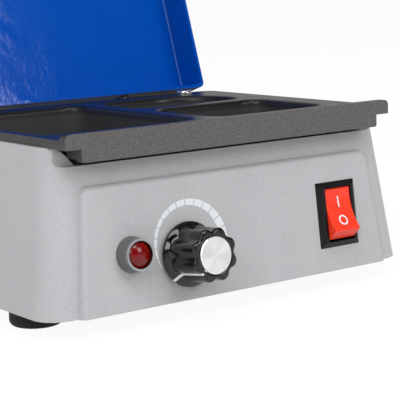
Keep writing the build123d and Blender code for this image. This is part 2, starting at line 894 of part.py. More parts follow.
def hinge_pin(x):
    """The pin of one hinge, headed at both ends."""
    half = hinge_length / 2
    reach = half + hinge_pin_head
    pin = rod_along_x(hinge_pin_radius, x - half, x + half)
    pin += rod_along_x(knuckle_radius, x - reach, x - half)
    pin += rod_along_x(knuckle_radius, x + half, x + reach)
    return Pos(0, hinge_y, hinge_z) * pin


def hinge_screws():
    """Four screws that hold the hinges to the back wall."""
    screw = pan_screw(hinge_screw_radius, hinge_screw_length, hinge_head_radius, hinge_head_height, 0.6)
    return pair(place * Pos(0, 0, hinge_sheet) * screw for place in hinge_screw_planes())


# ---------------------------------------------------------------- lamp


def lamp_bezel():
    """The lamp's polished bezel, a short cone with a seat for the lens."""
    body = Pos(0, 0, lamp_height / 2) * Cone(lamp_base_radius, lamp_front_radius, lamp_height)
    body -= rod(lens_radius + running_fit, lens_seat, lamp_height)
    return on_panel(lamp_x, lamp_z) * body


def lamp_lens():
    """The red lens, with a domed front."""
    sphere = (lens_radius**2 + lens_dome**2) / (2 * lens_dome)
    dome = Pos(0, 0, lens_straight + lens_dome - sphere) * Sphere(sphere)
    body = rod(lens_radius, lens_seat, lens_straight + lens_dome) & (
        dome + rod(lens_radius, lens_seat, lens_straight)
    )
    return on_panel(lamp_x, lamp_z) * body


def lamp_body():
    """The lamp's threaded body behind the panel."""
    body = rod(lamp_body_radius, -lamp_body_length, 0)
    for side in (-1, 1):
        tag = box_between(
            (side * 2 - 0.4, -1.2, -lamp_body_length - 5), (side * 2 + 0.4, 1.2, -lamp_body_length)
        )
        body += tag
    return on_panel(lamp_x, lamp_z) * body


def lamp_nut():
    """The nut that holds the lamp to the panel."""
    nut = hollow_nut(
        lamp_nut_flats, lamp_body_radius, -housing_wall - lamp_nut_height, -housing_wall
    )
    return on_panel(lamp_x, lamp_z) * nut


# ---------------------------------------------------------------- thermostat and knob


def thermostat_body():
    """The thermostat's case behind the panel, with a bore for its shaft."""
    back = -housing_wall - thermostat_depth
    case = box_between(
        (-thermostat_width / 2, -thermostat_height / 2, back),
        (thermostat_width / 2, thermostat_height / 2, -housing_wall),
    )
    case = fillet(case.edges().filter_by(Axis.Z), 1.5)
    case -= rod(shaft_radius + running_fit, shaft_bottom - seat_gap, 0)
    return on_panel(knob_x, knob_z) * case


def thermostat_neck():
    """The threaded neck that goes through the panel."""
    neck = ring(neck_radius, shaft_radius + running_fit, -housing_wall, neck_top)
    return on_panel(knob_x, knob_z) * neck


def thermostat_washer():
    """The washer under the thermostat's nut."""
    washer = ring(washer_radius, neck_radius + running_fit, 0, washer_thickness)
    return on_panel(knob_x, knob_z) * washer


def thermostat_nut():
    """The nut that holds the thermostat to the panel."""
    nut = hollow_nut(nut_flats, neck_radius, washer_thickness, washer_thickness + nut_height)
    return on_panel(knob_x, knob_z) * nut


def control_shaft():
    """The shaft that the knob turns."""
    return on_panel(knob_x, knob_z) * rod(shaft_radius, shaft_bottom, shaft_top)


def knob():
    """The knob: a smooth skirt below a fluted grip."""
    skirt_top = knob_gap + skirt_height
    skirt = rod(skirt_radius, knob_gap, skirt_top)
    slope = Pos(0, 0, skirt_top + skirt_slope / 2) * Cone(skirt_radius, grip_bottom_radius, skirt_slope)
    grip_height = grip_top - skirt_top
    grip = Pos(0, 0, skirt_top + grip_height / 2) * Cone(grip_bottom_radius, grip_top_radius, grip_height)
    grip = fillet(grip.edges().group_by(Axis.Z)[-1], grip_edge)
    reach = (grip_bottom_radius + grip_top_radius) / 2 + flute_radius - flute_depth
    for number in range(flute_count):
        turn = Rot(0, 0, number * 360 / flute_count)
        grip -= turn * Pos(0, reach, 0) * rod(flute_radius, skirt_top + skirt_slope, grip_top)
    body = skirt + slope + grip
    body -= rod(knob_recess_radius, knob_gap, knob_recess_top)
    body -= rod(bushing_radius, knob_recess_top, bushing_top)
    hole = Pos(0, 0, set_screw_level) * Rot(90, 0, 0) * rod(set_screw_radius + running_fit, 0, skirt_radius)
    return on_panel(knob_x, knob_z) * (body - hole)


def knob_bushing():
    """The metal bushing in the knob."""
    bushing = ring(bushing_radius, shaft_radius, bushing_bottom, bushing_top)
    hole = Pos(0, 0, set_screw_level) * Rot(90, 0, 0) * rod(set_screw_radius + running_fit, 0, skirt_radius)
    return on_panel(knob_x, knob_z) * (bushing - hole)


def knob_set_screw():
    """The set screw that clamps the knob to its shaft."""
    screw = Pos(0, 0, set_screw_level) * Rot(90, 0, 0) * rod(set_screw_radius, 0, set_screw_outer)
    screw -= rod(shaft_radius, shaft_bottom, shaft_top)
    return on_panel(knob_x, knob_z) * screw


def knob_disc():
    """The bright disc on the knob's front."""
    disc = rod(disc_radius, grip_top, grip_top + disc_height)
    disc = chamfer(disc.edges().group_by(Axis.Z)[-1], disc_height / 2)
    return on_panel(knob_x, knob_z) * disc


def sensor_bulb():
    """The thermostat's sensing bulb under the clamp plate."""
    z = clamp_z - clip_thickness - bulb_radius
    half = bulb_length / 2
    return Pos(0, bulb_y, z) * rod_along_x(bulb_radius, bulb_x - half, bulb_x + half)


def sensor_clip():
    """The clip that holds the bulb, screwed up with the clamp plate."""
    z = clamp_z - clip_thickness
    left = boss_middle_x - clip_width / 2
    right = boss_middle_x + clip_width / 2
    loop_radius = bulb_radius + clip_thickness
    centre_z = z - bulb_radius
    loop = rod_along_x(loop_radius, left, right)
    loop = Pos(0, bulb_y, centre_z) * loop
    tab = box_between((left, bulb_y, z), (right, boss_middle_y + clip_width / 2, clamp_z))
    clip = tab + loop
    clip -= Pos(0, bulb_y, centre_z) * rod_along_x(bulb_radius + running_fit, left, right)
    hole = rod(clamp_screw_radius + running_fit, z, clamp_z)
    return clip - Pos(boss_middle_x, boss_middle_y, 0) * hole


def capillary():
    """The fine tube from the thermostat's case to the bulb."""
    back = -housing_wall - thermostat_depth
    case = on_panel(knob_x, knob_z)
    start = case * Pos(-6, 2, back)
    straight = case * Pos(-6, 2, back - 8)
    bulb_end = bulb_x - bulb_length / 2
    z = clamp_z - clip_thickness - bulb_radius
    turn_x = bulb_end - 9
    points = [
        start.position,
        straight.position,
        (turn_x, bulb_y - 8, z - 3),
        (turn_x, bulb_y, z),
        (bulb_end, bulb_y, z),
    ]
    return bent_rod(capillary_radius, points, capillary_bend)


# ---------------------------------------------------------------- rocker switch


def switch_frame():
    """The switch's frame: a bevelled bezel in front and a hollow case behind."""
    bezel = extrude(Rectangle(bezel_width, bezel_height), amount=bezel_proud, taper=bezel_draft)
    case = box_between(
        (-switch_body_width / 2, -switch_body_height / 2, -switch_body_depth),
        (switch_body_width / 2, switch_body_height / 2, 0),
    )
    half_width = rocker_width / 2 + slide_gap
    opening = box_between((-half_width, -bezel_opening, 0), (half_width, bezel_opening, bezel_proud))
    swing = (rocker_waist**2 + (rocker_pivot_depth - rocker_waist_depth) ** 2) ** 0.5 + slide_gap
    inside = box_between((-half_width, -swing, -switch_body_depth + switch_back), (half_width, swing, 0))
    hollow = opening + inside
    reach = rocker_width / 2 + trunnion_length + slide_gap
    bore = Pos(0, 0, -rocker_pivot_depth) * rod_along_x(trunnion_radius + running_fit, -reach, reach)
    return on_panel(switch_x, switch_z) * (bezel + case - hollow - bore)


def switch_rocker():
    """The rocker at rest, with its upper end pressed in and its face hollowed for the finger."""
    upper = (rocker_half_length, rocker_end_proud)
    lower = (-rocker_half_length, rocker_end_proud)
    points = [
        upper,
        (rocker_waist, -rocker_waist_depth),
        (rocker_foot, -rocker_foot_depth),
        (-rocker_foot, -rocker_foot_depth),
        (-rocker_waist, -rocker_waist_depth),
        lower,
    ]
    hollow = ThreePointArc(lower, (0, rocker_middle_proud), upper)
    outline = make_face(Polyline(*points) + hollow)
    side = Plane(origin=(-rocker_width / 2, 0, 0), x_dir=(0, 1, 0), z_dir=(1, 0, 0))
    body = extrude(side * outline, amount=rocker_width)
    is_end = lambda edge: abs(edge.center().Z - rocker_end_proud) < 0.01
    body = fillet(body.edges().filter_by(Axis.X).filter_by(is_end), rocker_edge)
    reach = rocker_width / 2 + trunnion_length
    body += Pos(0, 0, -rocker_pivot_depth) * rod_along_x(trunnion_radius, -reach, reach)
    pivot = Pos(0, 0, -rocker_pivot_depth)
    body = pivot * Rot(-rocker_throw / 2, 0, 0) * Pos(0, 0, rocker_pivot_depth) * body
    return on_panel(switch_x, switch_z) * body


def switch_blade_places():
    """Where the switch's blades are, up its back."""
    return [Pos(0, number * blade_pitch, -switch_body_depth) for number in (-1, 0, 1)]


def switch_terminals():
    """Three blade terminals on the switch's back."""
    blade = Pos(0, 0, -blade_length / 2) * Box(blade_width, blade_thickness, blade_length)
    place = on_panel(switch_x, switch_z)
    return pair(place * blade_place * blade for blade_place in switch_blade_places())


# ---------------------------------------------------------------- power inlet, earth and wires


def power_inlet():
    """The flanged inlet for a separate power cord."""
    flange = extrude(
        RectangleRounded(inlet_flange_width, inlet_flange_height, inlet_flange_corner),
        amount=inlet_flange_thickness,
    )
    case = extrude(
        RectangleRounded(inlet_body_width, inlet_body_height, inlet_body_corner),
        amount=-inlet_body_depth,
    )
    socket = extrude(
        RectangleRounded(socket_width, socket_height, inlet_body_corner / 2), amount=-socket_depth
    )
    body = flange + case - Pos(0, 0, inlet_flange_thickness) * socket
    for side in (-1, 1):
        hole = rod(inlet_screw_radius + running_fit, 0, inlet_flange_thickness)
        body -= Pos(side * inlet_screw_spacing / 2, 0, 0) * hole
    for x, y in inlet_pin_places():
        body -= Pos(x, y, 0) * Box(pin_width, pin_height, 4 * inlet_body_depth)
    return on_back(inlet_x, inlet_z) * body


def inlet_pin_places():
    """The middle pin stands above the outer two."""
    return [(-pin_spacing, -pin_rise), (0, pin_rise), (pin_spacing, -pin_rise)]


def inlet_pins():
    """Three contact pins, with tails for the wires."""
    pins = []
    for x, y in inlet_pin_places():
        pin = box_between(
            (x - pin_width / 2, y - pin_height / 2, -inlet_body_depth - pin_tail),
            (x + pin_width / 2, y + pin_height / 2, -pin_tip),
        )
        pins.append(on_back(inlet_x, inlet_z) * pin)
    return pair(pins)


def inlet_screws():
    """Two screws that hold the inlet to the back wall."""
    screw = pan_screw(inlet_screw_radius, inlet_screw_length, inlet_head_radius, inlet_head_height, 0.8)
    place = on_back(inlet_x, inlet_z) * Pos(0, 0, inlet_flange_thickness)
    half = inlet_screw_spacing / 2
    return pair(place * Pos(side * half, 0, 0) * screw for side in (-1, 1))


def inlet_nuts():
    """The nuts of the inlet's screws, inside the back wall."""
    nut = hollow_nut(
        inlet_nut_flats, inlet_screw_radius, -housing_wall - inlet_nut_height, -housing_wall
    )
    half = inlet_screw_spacing / 2
    place = on_back(inlet_x, inlet_z)
    return pair(place * Pos(side * half, 0, 0) * nut for side in (-1, 1))


def earth_screw():
    """The earth screw, up through the base plate."""
    screw = pan_screw(earth_radius, earth_length, earth_head_radius, earth_head_height, 0.9)
    return Pos(earth_x, earth_y, foot_height) * Rot(180, 0, 0) * screw


def earth_nut():
    """The nut on the earth screw."""
    nut = hollow_nut(earth_nut_flats, earth_radius, base_top_z, base_top_z + earth_nut_height)
    return Pos(earth_x, earth_y, 0) * nut


def wires():
    """Two wires: from the inlet to the switch, and from the switch to the thermostat."""
    inlet = on_back(inlet_x, inlet_z)
    switch = on_panel(switch_x, switch_z)
    case = on_panel(knob_x, knob_z)
    pin_x, pin_y = inlet_pin_places()[0]
    tail = -inlet_body_depth - pin_tail
    blade_end = -switch_body_depth - blade_length
    case_back = -housing_wall - thermostat_depth
    feed = [
        (inlet * Pos(pin_x, pin_y, tail)).position,
        (inlet * Pos(pin_x, pin_y, tail - inlet_run)).position,
        (switch * Pos(0, -blade_pitch, blade_end - feed_run)).position,
        (switch * Pos(0, -blade_pitch, blade_end)).position,
    ]
    load = [
        (switch * Pos(0, 0, blade_end)).position,
        (switch * Pos(0, 0, blade_end - load_run)).position,
        (case * Pos(case_tap_right, case_tap_rise, case_back - case_run)).position,
        (case * Pos(case_tap_right, case_tap_rise, case_back)).position,
    ]
    return pair(bent_rod(wire_radius, points, wire_bend) for points in (feed, load))


# ---------------------------------------------------------------- all pieces


def all_pieces():
    """Every piece by its name, in its place."""
    pieces = {
        "housing": housing(),
        "base_plate": base_plate(),
        "base_screws": base_screws(),
        "tray": tray(),
        "tray_screws": tray_screws(),
        "heating_element": heating_element(),
        "clamp_plate": clamp_plate(),
        "clamp_screws": clamp_screws(),
        "insulation_pad": insulation_pad(),
        "thermal_cutout": thermal_cutout(),
        "lid": lid(),
        "lid_rivets": lid_rivets(),
        "hinge_screws": hinge_screws(),
        "lamp_bezel": lamp_bezel(),
        "lamp_lens": lamp_lens(),
        "lamp_body": lamp_body(),
        "lamp_nut": lamp_nut(),
        "thermostat_body": thermostat_body(),
        "thermostat_neck": thermostat_neck(),
        "thermostat_washer": thermostat_washer(),
        "thermostat_nut": thermostat_nut(),
        "control_shaft": control_shaft(),
        "knob": knob(),
        "knob_bushing": knob_bushing(),
        "knob_set_screw": knob_set_screw(),
        "knob_disc": knob_disc(),
        "sensor_bulb": sensor_bulb(),
        "sensor_clip": sensor_clip(),
        "capillary": capillary(),
        "switch_frame": switch_frame(),
        "switch_rocker": switch_rocker(),
        "switch_terminals": switch_terminals(),
        "power_inlet": power_inlet(),
        "inlet_pins": inlet_pins(),
        "inlet_screws": inlet_screws(),
        "inlet_nuts": inlet_nuts(),
        "earth_screw": earth_screw(),
        "earth_nut": earth_nut(),
        "wires": wires(),
    }
    for corner, (x, y) in post_places.items():
        pieces[f"foot_{corner}"] = foot(x, y)
    for side, x in hinge_places.items():
        pieces[f"hinge_lid_leaf_{side}"] = hinge_lid_leaf(x)
        pieces[f"hinge_housing_leaf_{side}"] = hinge_housing_leaf(x)
        pieces[f"hinge_pin_{side}"] = hinge_pin(x)
    return pieces


def middle_y(pieces):
    """The middle of the whole object along Y."""
    boxes = [piece.bounding_box() for piece in pieces.values()]
    return (min(box.min.Y for box in boxes) + max(box.max.Y for box in boxes)) / 2


pieces = all_pieces()
shift_y = -middle_y(pieces)
os.makedirs("parts", exist_ok=True)
for name, piece in pieces.items():
    export_step(Pos(0, shift_y, 0) * piece, f"parts/{name}.step")
print("pieces", len(pieces), "shift along Y", round(shift_y, 3))
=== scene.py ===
# %% [markdown]
# # The looks of a dental lab wax heater
#
# The heater is a small electric bath that keeps wax soft: a cast metal housing, a cast tray
# with three wells, a blue lid on two hinges, and a lamp, a knob and a switch on the front.
# The solid model comes first and stays as it is. Here each of its pieces gets its finish,
# and the few things too thin for a solid model, such as printing, are added on top of it.
# Only the knob is drawn again, with the same sizes, for the swept surfaces of a moulding.

# %% Load the solid model
import json
import math

import bmesh
import bpy
from mathutils import Matrix, Vector


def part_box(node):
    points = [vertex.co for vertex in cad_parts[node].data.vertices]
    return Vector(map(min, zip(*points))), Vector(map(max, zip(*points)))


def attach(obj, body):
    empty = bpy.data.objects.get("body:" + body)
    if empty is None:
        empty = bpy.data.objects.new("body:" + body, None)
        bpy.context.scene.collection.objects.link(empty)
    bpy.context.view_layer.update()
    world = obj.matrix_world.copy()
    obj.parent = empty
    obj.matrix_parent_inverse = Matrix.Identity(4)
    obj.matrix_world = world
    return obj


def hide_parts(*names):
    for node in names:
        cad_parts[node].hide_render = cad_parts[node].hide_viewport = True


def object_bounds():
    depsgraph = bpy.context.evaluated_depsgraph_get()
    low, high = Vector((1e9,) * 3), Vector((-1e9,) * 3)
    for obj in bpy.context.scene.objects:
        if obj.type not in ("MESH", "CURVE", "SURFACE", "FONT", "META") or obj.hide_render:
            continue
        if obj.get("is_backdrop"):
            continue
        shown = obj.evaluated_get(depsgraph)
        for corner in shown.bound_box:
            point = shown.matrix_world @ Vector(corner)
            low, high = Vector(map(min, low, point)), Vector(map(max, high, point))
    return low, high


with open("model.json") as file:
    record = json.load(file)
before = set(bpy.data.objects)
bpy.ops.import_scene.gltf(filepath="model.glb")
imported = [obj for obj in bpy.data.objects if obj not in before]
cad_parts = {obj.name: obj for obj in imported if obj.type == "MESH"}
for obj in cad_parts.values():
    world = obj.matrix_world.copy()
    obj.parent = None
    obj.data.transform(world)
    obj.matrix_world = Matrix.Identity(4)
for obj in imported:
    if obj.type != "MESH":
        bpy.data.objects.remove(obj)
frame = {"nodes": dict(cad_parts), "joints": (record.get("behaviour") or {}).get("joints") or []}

cad_low, cad_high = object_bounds()
mm = 0.001
print("nodes", len(frame["nodes"]), "size in mm", [round(v / mm, 1) for v in cad_high - cad_low])

# %% [markdown]
# ## Two small helpers
#
# A colour is given as a hex value, as a screen shows it, but a shader works with linear
# light, so one function turns the one into the other. A second function adds a shader node,
# sets its properties and fills its inputs, so that each finish below reads as a short recipe.

# %% Colours and nodes


def linear(hex_colour):
    """The linear colour of a hex value such as 0046a5."""
    parts = [int(hex_colour[start:start + 2], 16) / 255 for start in (0, 2, 4)]
    light = [part / 12.92 if part <= 0.04045 else ((part + 0.055) / 1.055) ** 2.4 for part in parts]
    return (*light, 1)


def add(tree, kind, inputs=None, **settings):
    """Adds a shader node, sets its properties, then sets or links its inputs."""
    made = tree.nodes.new("ShaderNode" + kind)
    for name, value in settings.items():
        setattr(made, name, value)
    for name, value in (inputs or {}).items():
        if isinstance(value, bpy.types.NodeSocket):
            tree.links.new(value, made.inputs[name])
        else:
            made.inputs[name].default_value = value
    return made


print("enamel blue in linear light", [round(part, 3) for part in linear("0046a5")])

# %% [markdown]
# ## The camera
#
# A product photograph is taken with a long lens from some way off, so that upright edges stay
# nearly parallel. The place and the turn below were worked out from edges of known length in
# the picture. The camera is set from the tray's own box, so it follows if the tray moves.

# %% Camera
tray_low, tray_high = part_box("tray")
camera_data = bpy.data.cameras.new("camera")
camera_data.sensor_width = 36
camera_data.lens = 128.235
camera = bpy.data.objects.new("camera", camera_data)
bpy.context.scene.collection.objects.link(camera)
camera_place = Vector((-0.252881, tray_low.y - 0.325147, tray_high.z + 0.043023))
to_the_right, downwards, lopsided = 36.152, 9.284, 1.882  # how it is turned, in degrees
heading = Matrix.Rotation(math.radians(-to_the_right), 4, "Z")
tilt = Matrix.Rotation(math.radians(90 - downwards), 4, "X")
roll = Matrix.Rotation(math.radians(-lopsided), 4, "Z")
camera.matrix_world = Matrix.Translation(camera_place) @ heading @ tilt @ roll
bpy.context.scene.camera = camera
print("camera to tray, in mm:", round((camera_place - (tray_low + tray_high) / 2).length / mm))

# %% [markdown]
# ## Floor, background and lamps
#
# The heater stands on white paper in a white room. Pouring light on the paper until it burns
# out would burn out the heater too, so the paper and the sky are white only to the camera and
# to rays that bounce off gloss or pass through glass. All other light stays at a plain level.
# A little of the paper's own shading is kept, which leaves a soft shadow under the feet.
#
# In front of the heater, where the photographer stands, the room that gloss mirrors is bright
# near the floor and dark higher up. Faces that are nearly upright mirror the bright part, and
# the lid, which leans back, the dark part. So its blue stays deep, and each lamp shows on it as
# a clear, bright shape.

# %% Floor and background
plain_level = 0.5  # of the room, for all light that isn't mirrored or seen
low_in_front, high_in_front, room_behind = 0.78, 0.02, 0.6  # how bright gloss sees the room
paper_in_gloss, paper_in_view = 0.45, 0.93  # how much the paper glows for each kind of ray
floor_radius, floor_gap = 40.0, 0.05 * mm


def white_rays(tree):
    """One for the rays that show the background: from the camera, off gloss, or through glass."""
    rays = add(tree, "LightPath").outputs
    inputs = {0: rays["Is Camera Ray"], 1: rays["Is Glossy Ray"]}
    glossy = add(tree, "Math", inputs, operation="MAXIMUM")
    inputs = {0: glossy.outputs[0], 1: rays["Is Transmission Ray"]}
    return add(tree, "Math", inputs, operation="MAXIMUM").outputs[0]


paper = bpy.data.materials.new("white_studio_paper")
paper.use_nodes = True
tree = paper.node_tree
tree.nodes.clear()
matt = add(tree, "BsdfDiffuse", {"Color": linear("f4f4f4"), "Roughness": 0.5})
glow = add(tree, "Emission", {"Color": linear("ffffff"), "Strength": 1.0})
straight = add(tree, "LightPath").outputs["Is Camera Ray"]
strength = add(
    tree,
    "MapRange",
    {"Value": straight, "To Min": paper_in_gloss, "To Max": paper_in_view},
)
share = add(tree, "Math", {0: white_rays(tree), 1: strength.outputs[0]}, operation="MULTIPLY")
both = add(tree, "MixShader", {0: share.outputs[0], 1: matt.outputs[0], 2: glow.outputs[0]})
add(tree, "OutputMaterial", {"Surface": both.outputs[0]})

floor_shape = bmesh.new()
bmesh.ops.create_circle(floor_shape, cap_ends=True, segments=96, radius=floor_radius)
bmesh.ops.translate(floor_shape, verts=floor_shape.verts, vec=(0, 0, cad_low.z - floor_gap))
floor_mesh = bpy.data.meshes.new("floor")
floor_shape.to_mesh(floor_mesh)
floor_shape.free()
floor_mesh.materials.append(paper)
floor = bpy.data.objects.new("floor", floor_mesh)
bpy.context.scene.collection.objects.link(floor)
floor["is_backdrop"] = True

room = bpy.data.worlds.new("white_room")
bpy.context.scene.world = room
room.use_nodes = True
tree = room.node_tree
tree.nodes.clear()
towards = add(tree, "SeparateXYZ", {"Vector": add(tree, "TexCoord").outputs["Generated"]})
in_front = add(
    tree,
    "MapRange",
    {
        "Value": towards.outputs["Z"],
        "From Min": 0.08,
        "From Max": 0.24,
        "To Min": low_in_front,
        "To Max": high_in_front,
    },
)
backwards = add(
    tree,
    "MapRange",
    {"Value": towards.outputs["Y"], "From Min": -0.3, "From Max": 0.5},
)
around = add(
    tree,
    "Mix",
    {0: backwards.outputs[0], 2: in_front.outputs[0], 3: room_behind},
    data_type="FLOAT",
)
seen = add(tree, "LightPath")
backdrop = add(
    tree,
    "Math",
    {0: seen.outputs["Is Camera Ray"], 1: around.outputs[0]},
    operation="MAXIMUM",
)
others = add(tree, "Math", {0: 1.0, 1: white_rays(tree)}, operation="SUBTRACT")
level = add(
    tree,
    "Mix",
    {0: others.outputs[0], 2: backdrop.outputs[0], 3: plain_level},
    data_type="FLOAT",
)
sky = add(tree, "Background", {"Color": linear("ffffff"), "Strength": level.outputs[0]})
add(tree, "OutputWorld", {"Surface": sky.outputs[0]})
bpy.context.scene.view_settings.view_transform = "Standard"
print("floor at", round(cad_low.z / mm, 2), "mm")

# %% Lamps


def soft_box(name, place, width, height, power):
    """A large soft lamp at a place in metres, turned to the middle of the heater."""
    lamp_data = bpy.data.lights.new(name, "AREA")
    lamp_data.shape = "RECTANGLE"
    lamp_data.size, lamp_data.size_y = width, height
    lamp_data.energy = power
    lamp = bpy.data.objects.new(name, lamp_data)
    bpy.context.scene.collection.objects.link(lamp)
    lamp.location = place
    middle = (cad_low + cad_high) / 2
    lamp.rotation_euler = (middle - Vector(place)).to_track_quat("-Z", "Y").to_euler()


soft_box("left_box", (-1.05, -0.75, 0.75), 0.50, 0.50, 4.6)
soft_box("front_box", (0.42, -1.22, 0.88), 0.60, 0.65, 6.2)
soft_box("top_strip", (-0.36, -0.46, 1.12), 1.1, 0.44, 7.6)
print("lamps", [light.name for light in bpy.data.lights])

# %% [markdown]
# ## Putting a finish on a piece
#
# A finish starts from the point on the piece, in metres, which doesn't move when the lid or the
# knob turns. A real grain of half a millimetre then needs a noise of 1000 / 0.5 cells a metre.

# %% Start and give a finish


def start_finish(name):
    """A new material, its node tree, and the point on the piece that patterns are drawn from."""
    material = bpy.data.materials.new(name)
    material.use_nodes = True
    material.node_tree.nodes.clear()
    return material, material.node_tree, add(material.node_tree, "TexCoord").outputs["Object"]


def cells(size_mm):
    """The scale of a noise whose blotches are about this many millimetres across."""
    return 1000 / size_mm


def dress(material, *names):
    """Gives the material to nodes of the solid model."""
    for name in names:
        mesh = frame["nodes"][name].data
        mesh.materials.clear()
        mesh.materials.append(material)


print("a 0.5 mm grain is", cells(0.5), "cells a metre")

# %% [markdown]
# ## Grey enamel on the housing
#
# The housing is a painted casting, baked to a satin shine. The spray leaves a fine mottling and
# an orange peel, and here and there a faint run down the wall. One fine noise draws the
# mottling, one squeezed along Z the runs, and a third drives a very low bump. The colours that
# they mix are within a few shades of one neutral grey.

# %% Grey enamel
grey_enamel, tree, place = start_finish("grey_baked_enamel")
mottle = add(tree, "TexNoise", {"Vector": place, "Scale": cells(0.7), "Detail": 3.0})
spread = add(tree, "MapRange", {"Value": mottle.outputs["Fac"], "From Min": 0.3, "From Max": 0.7})
grey = add(
    tree,
    "Mix",
    {0: spread.outputs[0], 6: linear("a6a7aa"), 7: linear("b1b2b4")},
    data_type="RGBA",
)
upright = add(tree, "Mapping", {"Vector": place, "Scale": (1, 1, 0.2)})
runs = add(tree, "TexNoise", {"Vector": upright.outputs[0], "Scale": cells(7), "Detail": 2.0})
patch = add(
    tree,
    "MapRange",
    {"Value": runs.outputs["Fac"], "From Min": 0.35, "From Max": 0.65, "To Max": 0.35},
)
sprayed = add(
    tree,
    "Mix",
    {0: patch.outputs[0], 6: grey.outputs[2], 7: linear("b3b4b6")},
    data_type="RGBA",
)
peel = add(tree, "TexNoise", {"Vector": place, "Scale": cells(0.5), "Detail": 2.0})
skin = add(tree, "Bump", {"Strength": 0.3, "Distance": 0.05 * mm, "Height": peel.outputs["Fac"]})
sheen = add(tree, "MapRange", {"Value": mottle.outputs["Fac"], "To Min": 0.40, "To Max": 0.50})
enamel = add(
    tree,
    "BsdfPrincipled",
    {
        "Base Color": sprayed.outputs[2],
        "Roughness": sheen.outputs[0],
        "IOR": 1.5,
        "Specular IOR Level": 0.4,
        "Normal": skin.outputs[0],
    },
)
add(tree, "OutputMaterial", {"Surface": enamel.outputs[0]})
dress(grey_enamel, "housing")
print("painted", "housing")

# %% [markdown]
# ## Black coating on the cast tray
#
# The tray is cast aluminium under a black baked coating that wax doesn't stick to. Its deck is
# smooth and satin, and inside the wells the black is painted a little paler, as painted light.
# The outer face of the lip keeps the grain of the casting, and is painted grey and speckled, partly
# for that grain and partly as a painted sheen, with less of it on the ends as painted shade. One
# finish does all three: the point's height tells the wells from the deck, and how far it lies to
# the front and to the sides tells the outer faces from the rest.

# %% Black tray
lip_rise = 1.75 * mm  # of the lip's top over the deck
deck_top = tray_high.z - lip_rise
tray_half = (tray_high.x - tray_low.x) / 2
grain_start, grain_full = 0.4 * mm, 0.1 * mm  # how deep under the outer faces
# the ends get less of the grey than the front, as painted shade
grey_at_ends_painted_shade = 0.3  # of the grain that the front has

black_cast, tree, place = start_finish("black_coated_casting")
where = add(tree, "SeparateXYZ", {"Vector": place})
side = add(tree, "Math", {0: where.outputs["X"]}, operation="ABSOLUTE")
past_side = add(
    tree,
    "MapRange",
    {
        "Value": side.outputs[0],
        "From Min": tray_half - grain_start,
        "From Max": tray_half - grain_full,
    },
)
past_front = add(
    tree,
    "MapRange",
    {
        "Value": where.outputs["Y"],
        "From Min": tray_low.y + grain_start,
        "From Max": tray_low.y + grain_full,
    },
)
ends = add(tree, "Math", {0: past_side.outputs[0], 1: grey_at_ends_painted_shade}, operation="MULTIPLY")
outer = add(tree, "Math", {0: ends.outputs[0], 1: past_front.outputs[0]}, operation="MAXIMUM")
speckle = add(
    tree,
    "TexNoise",
    {"Vector": place, "Scale": cells(0.35), "Detail": 3.0, "Roughness": 0.6},
)
grains = add(tree, "MapRange", {"Value": speckle.outputs["Fac"], "From Min": 0.3, "From Max": 0.75})
# the grey of the outer faces is partly the casting's grain and partly a painted sheen
grain_and_painted_sheen = add(
    tree,
    "Mix",
    {0: grains.outputs[0], 6: linear("3c3b3b"), 7: linear("716f6e")},
    data_type="RGBA",
)
smears = add(tree, "TexNoise", {"Vector": place, "Scale": cells(6), "Detail": 2.0})
coat = add(
    tree,
    "Mix",
    {0: smears.outputs["Fac"], 6: linear("0d0d0f"), 7: linear("17171a")},
    data_type="RGBA",
)
# painted light: inside the wells the black is painted paler
painted_well_light = add(
    tree,
    "MapRange",
    {"Value": where.outputs["Z"], "From Min": deck_top - 1 * mm, "From Max": deck_top - 3 * mm},
)
coat_with_painted_well_light = add(
    tree,
    "Mix",
    {0: painted_well_light.outputs[0], 6: coat.outputs[2], 7: linear("38383a")},
    data_type="RGBA",
)
tone = add(
    tree,
    "Mix",
    {0: outer.outputs[0], 6: coat_with_painted_well_light.outputs[2], 7: grain_and_painted_sheen.outputs[2]},
    data_type="RGBA",
)
shine = add(tree, "MapRange", {"Value": outer.outputs[0], "To Min": 0.27, "To Max": 0.5})
rough = add(
    tree,
    "Math",
    {0: smears.outputs["Fac"], 1: 0.12, 2: shine.outputs[0]},
    operation="MULTIPLY_ADD",
)
grit = add(tree, "MapRange", {"Value": outer.outputs[0], "To Min": 0.08, "To Max": 0.6})
skin = add(
    tree,
    "Bump",
    {"Strength": grit.outputs[0], "Distance": 0.08 * mm, "Height": speckle.outputs["Fac"]},
)
coating = add(
    tree,
    "BsdfPrincipled",
    {
        "Base Color": tone.outputs[2],
        "Roughness": rough.outputs[0],
        "IOR": 1.4,
        "Specular IOR Level": 0.45,
        "Normal": skin.outputs[0],
    },
)
add(tree, "OutputMaterial", {"Surface": coating.outputs[0]})
dress(black_cast, "tray")
print("coated", "tray")
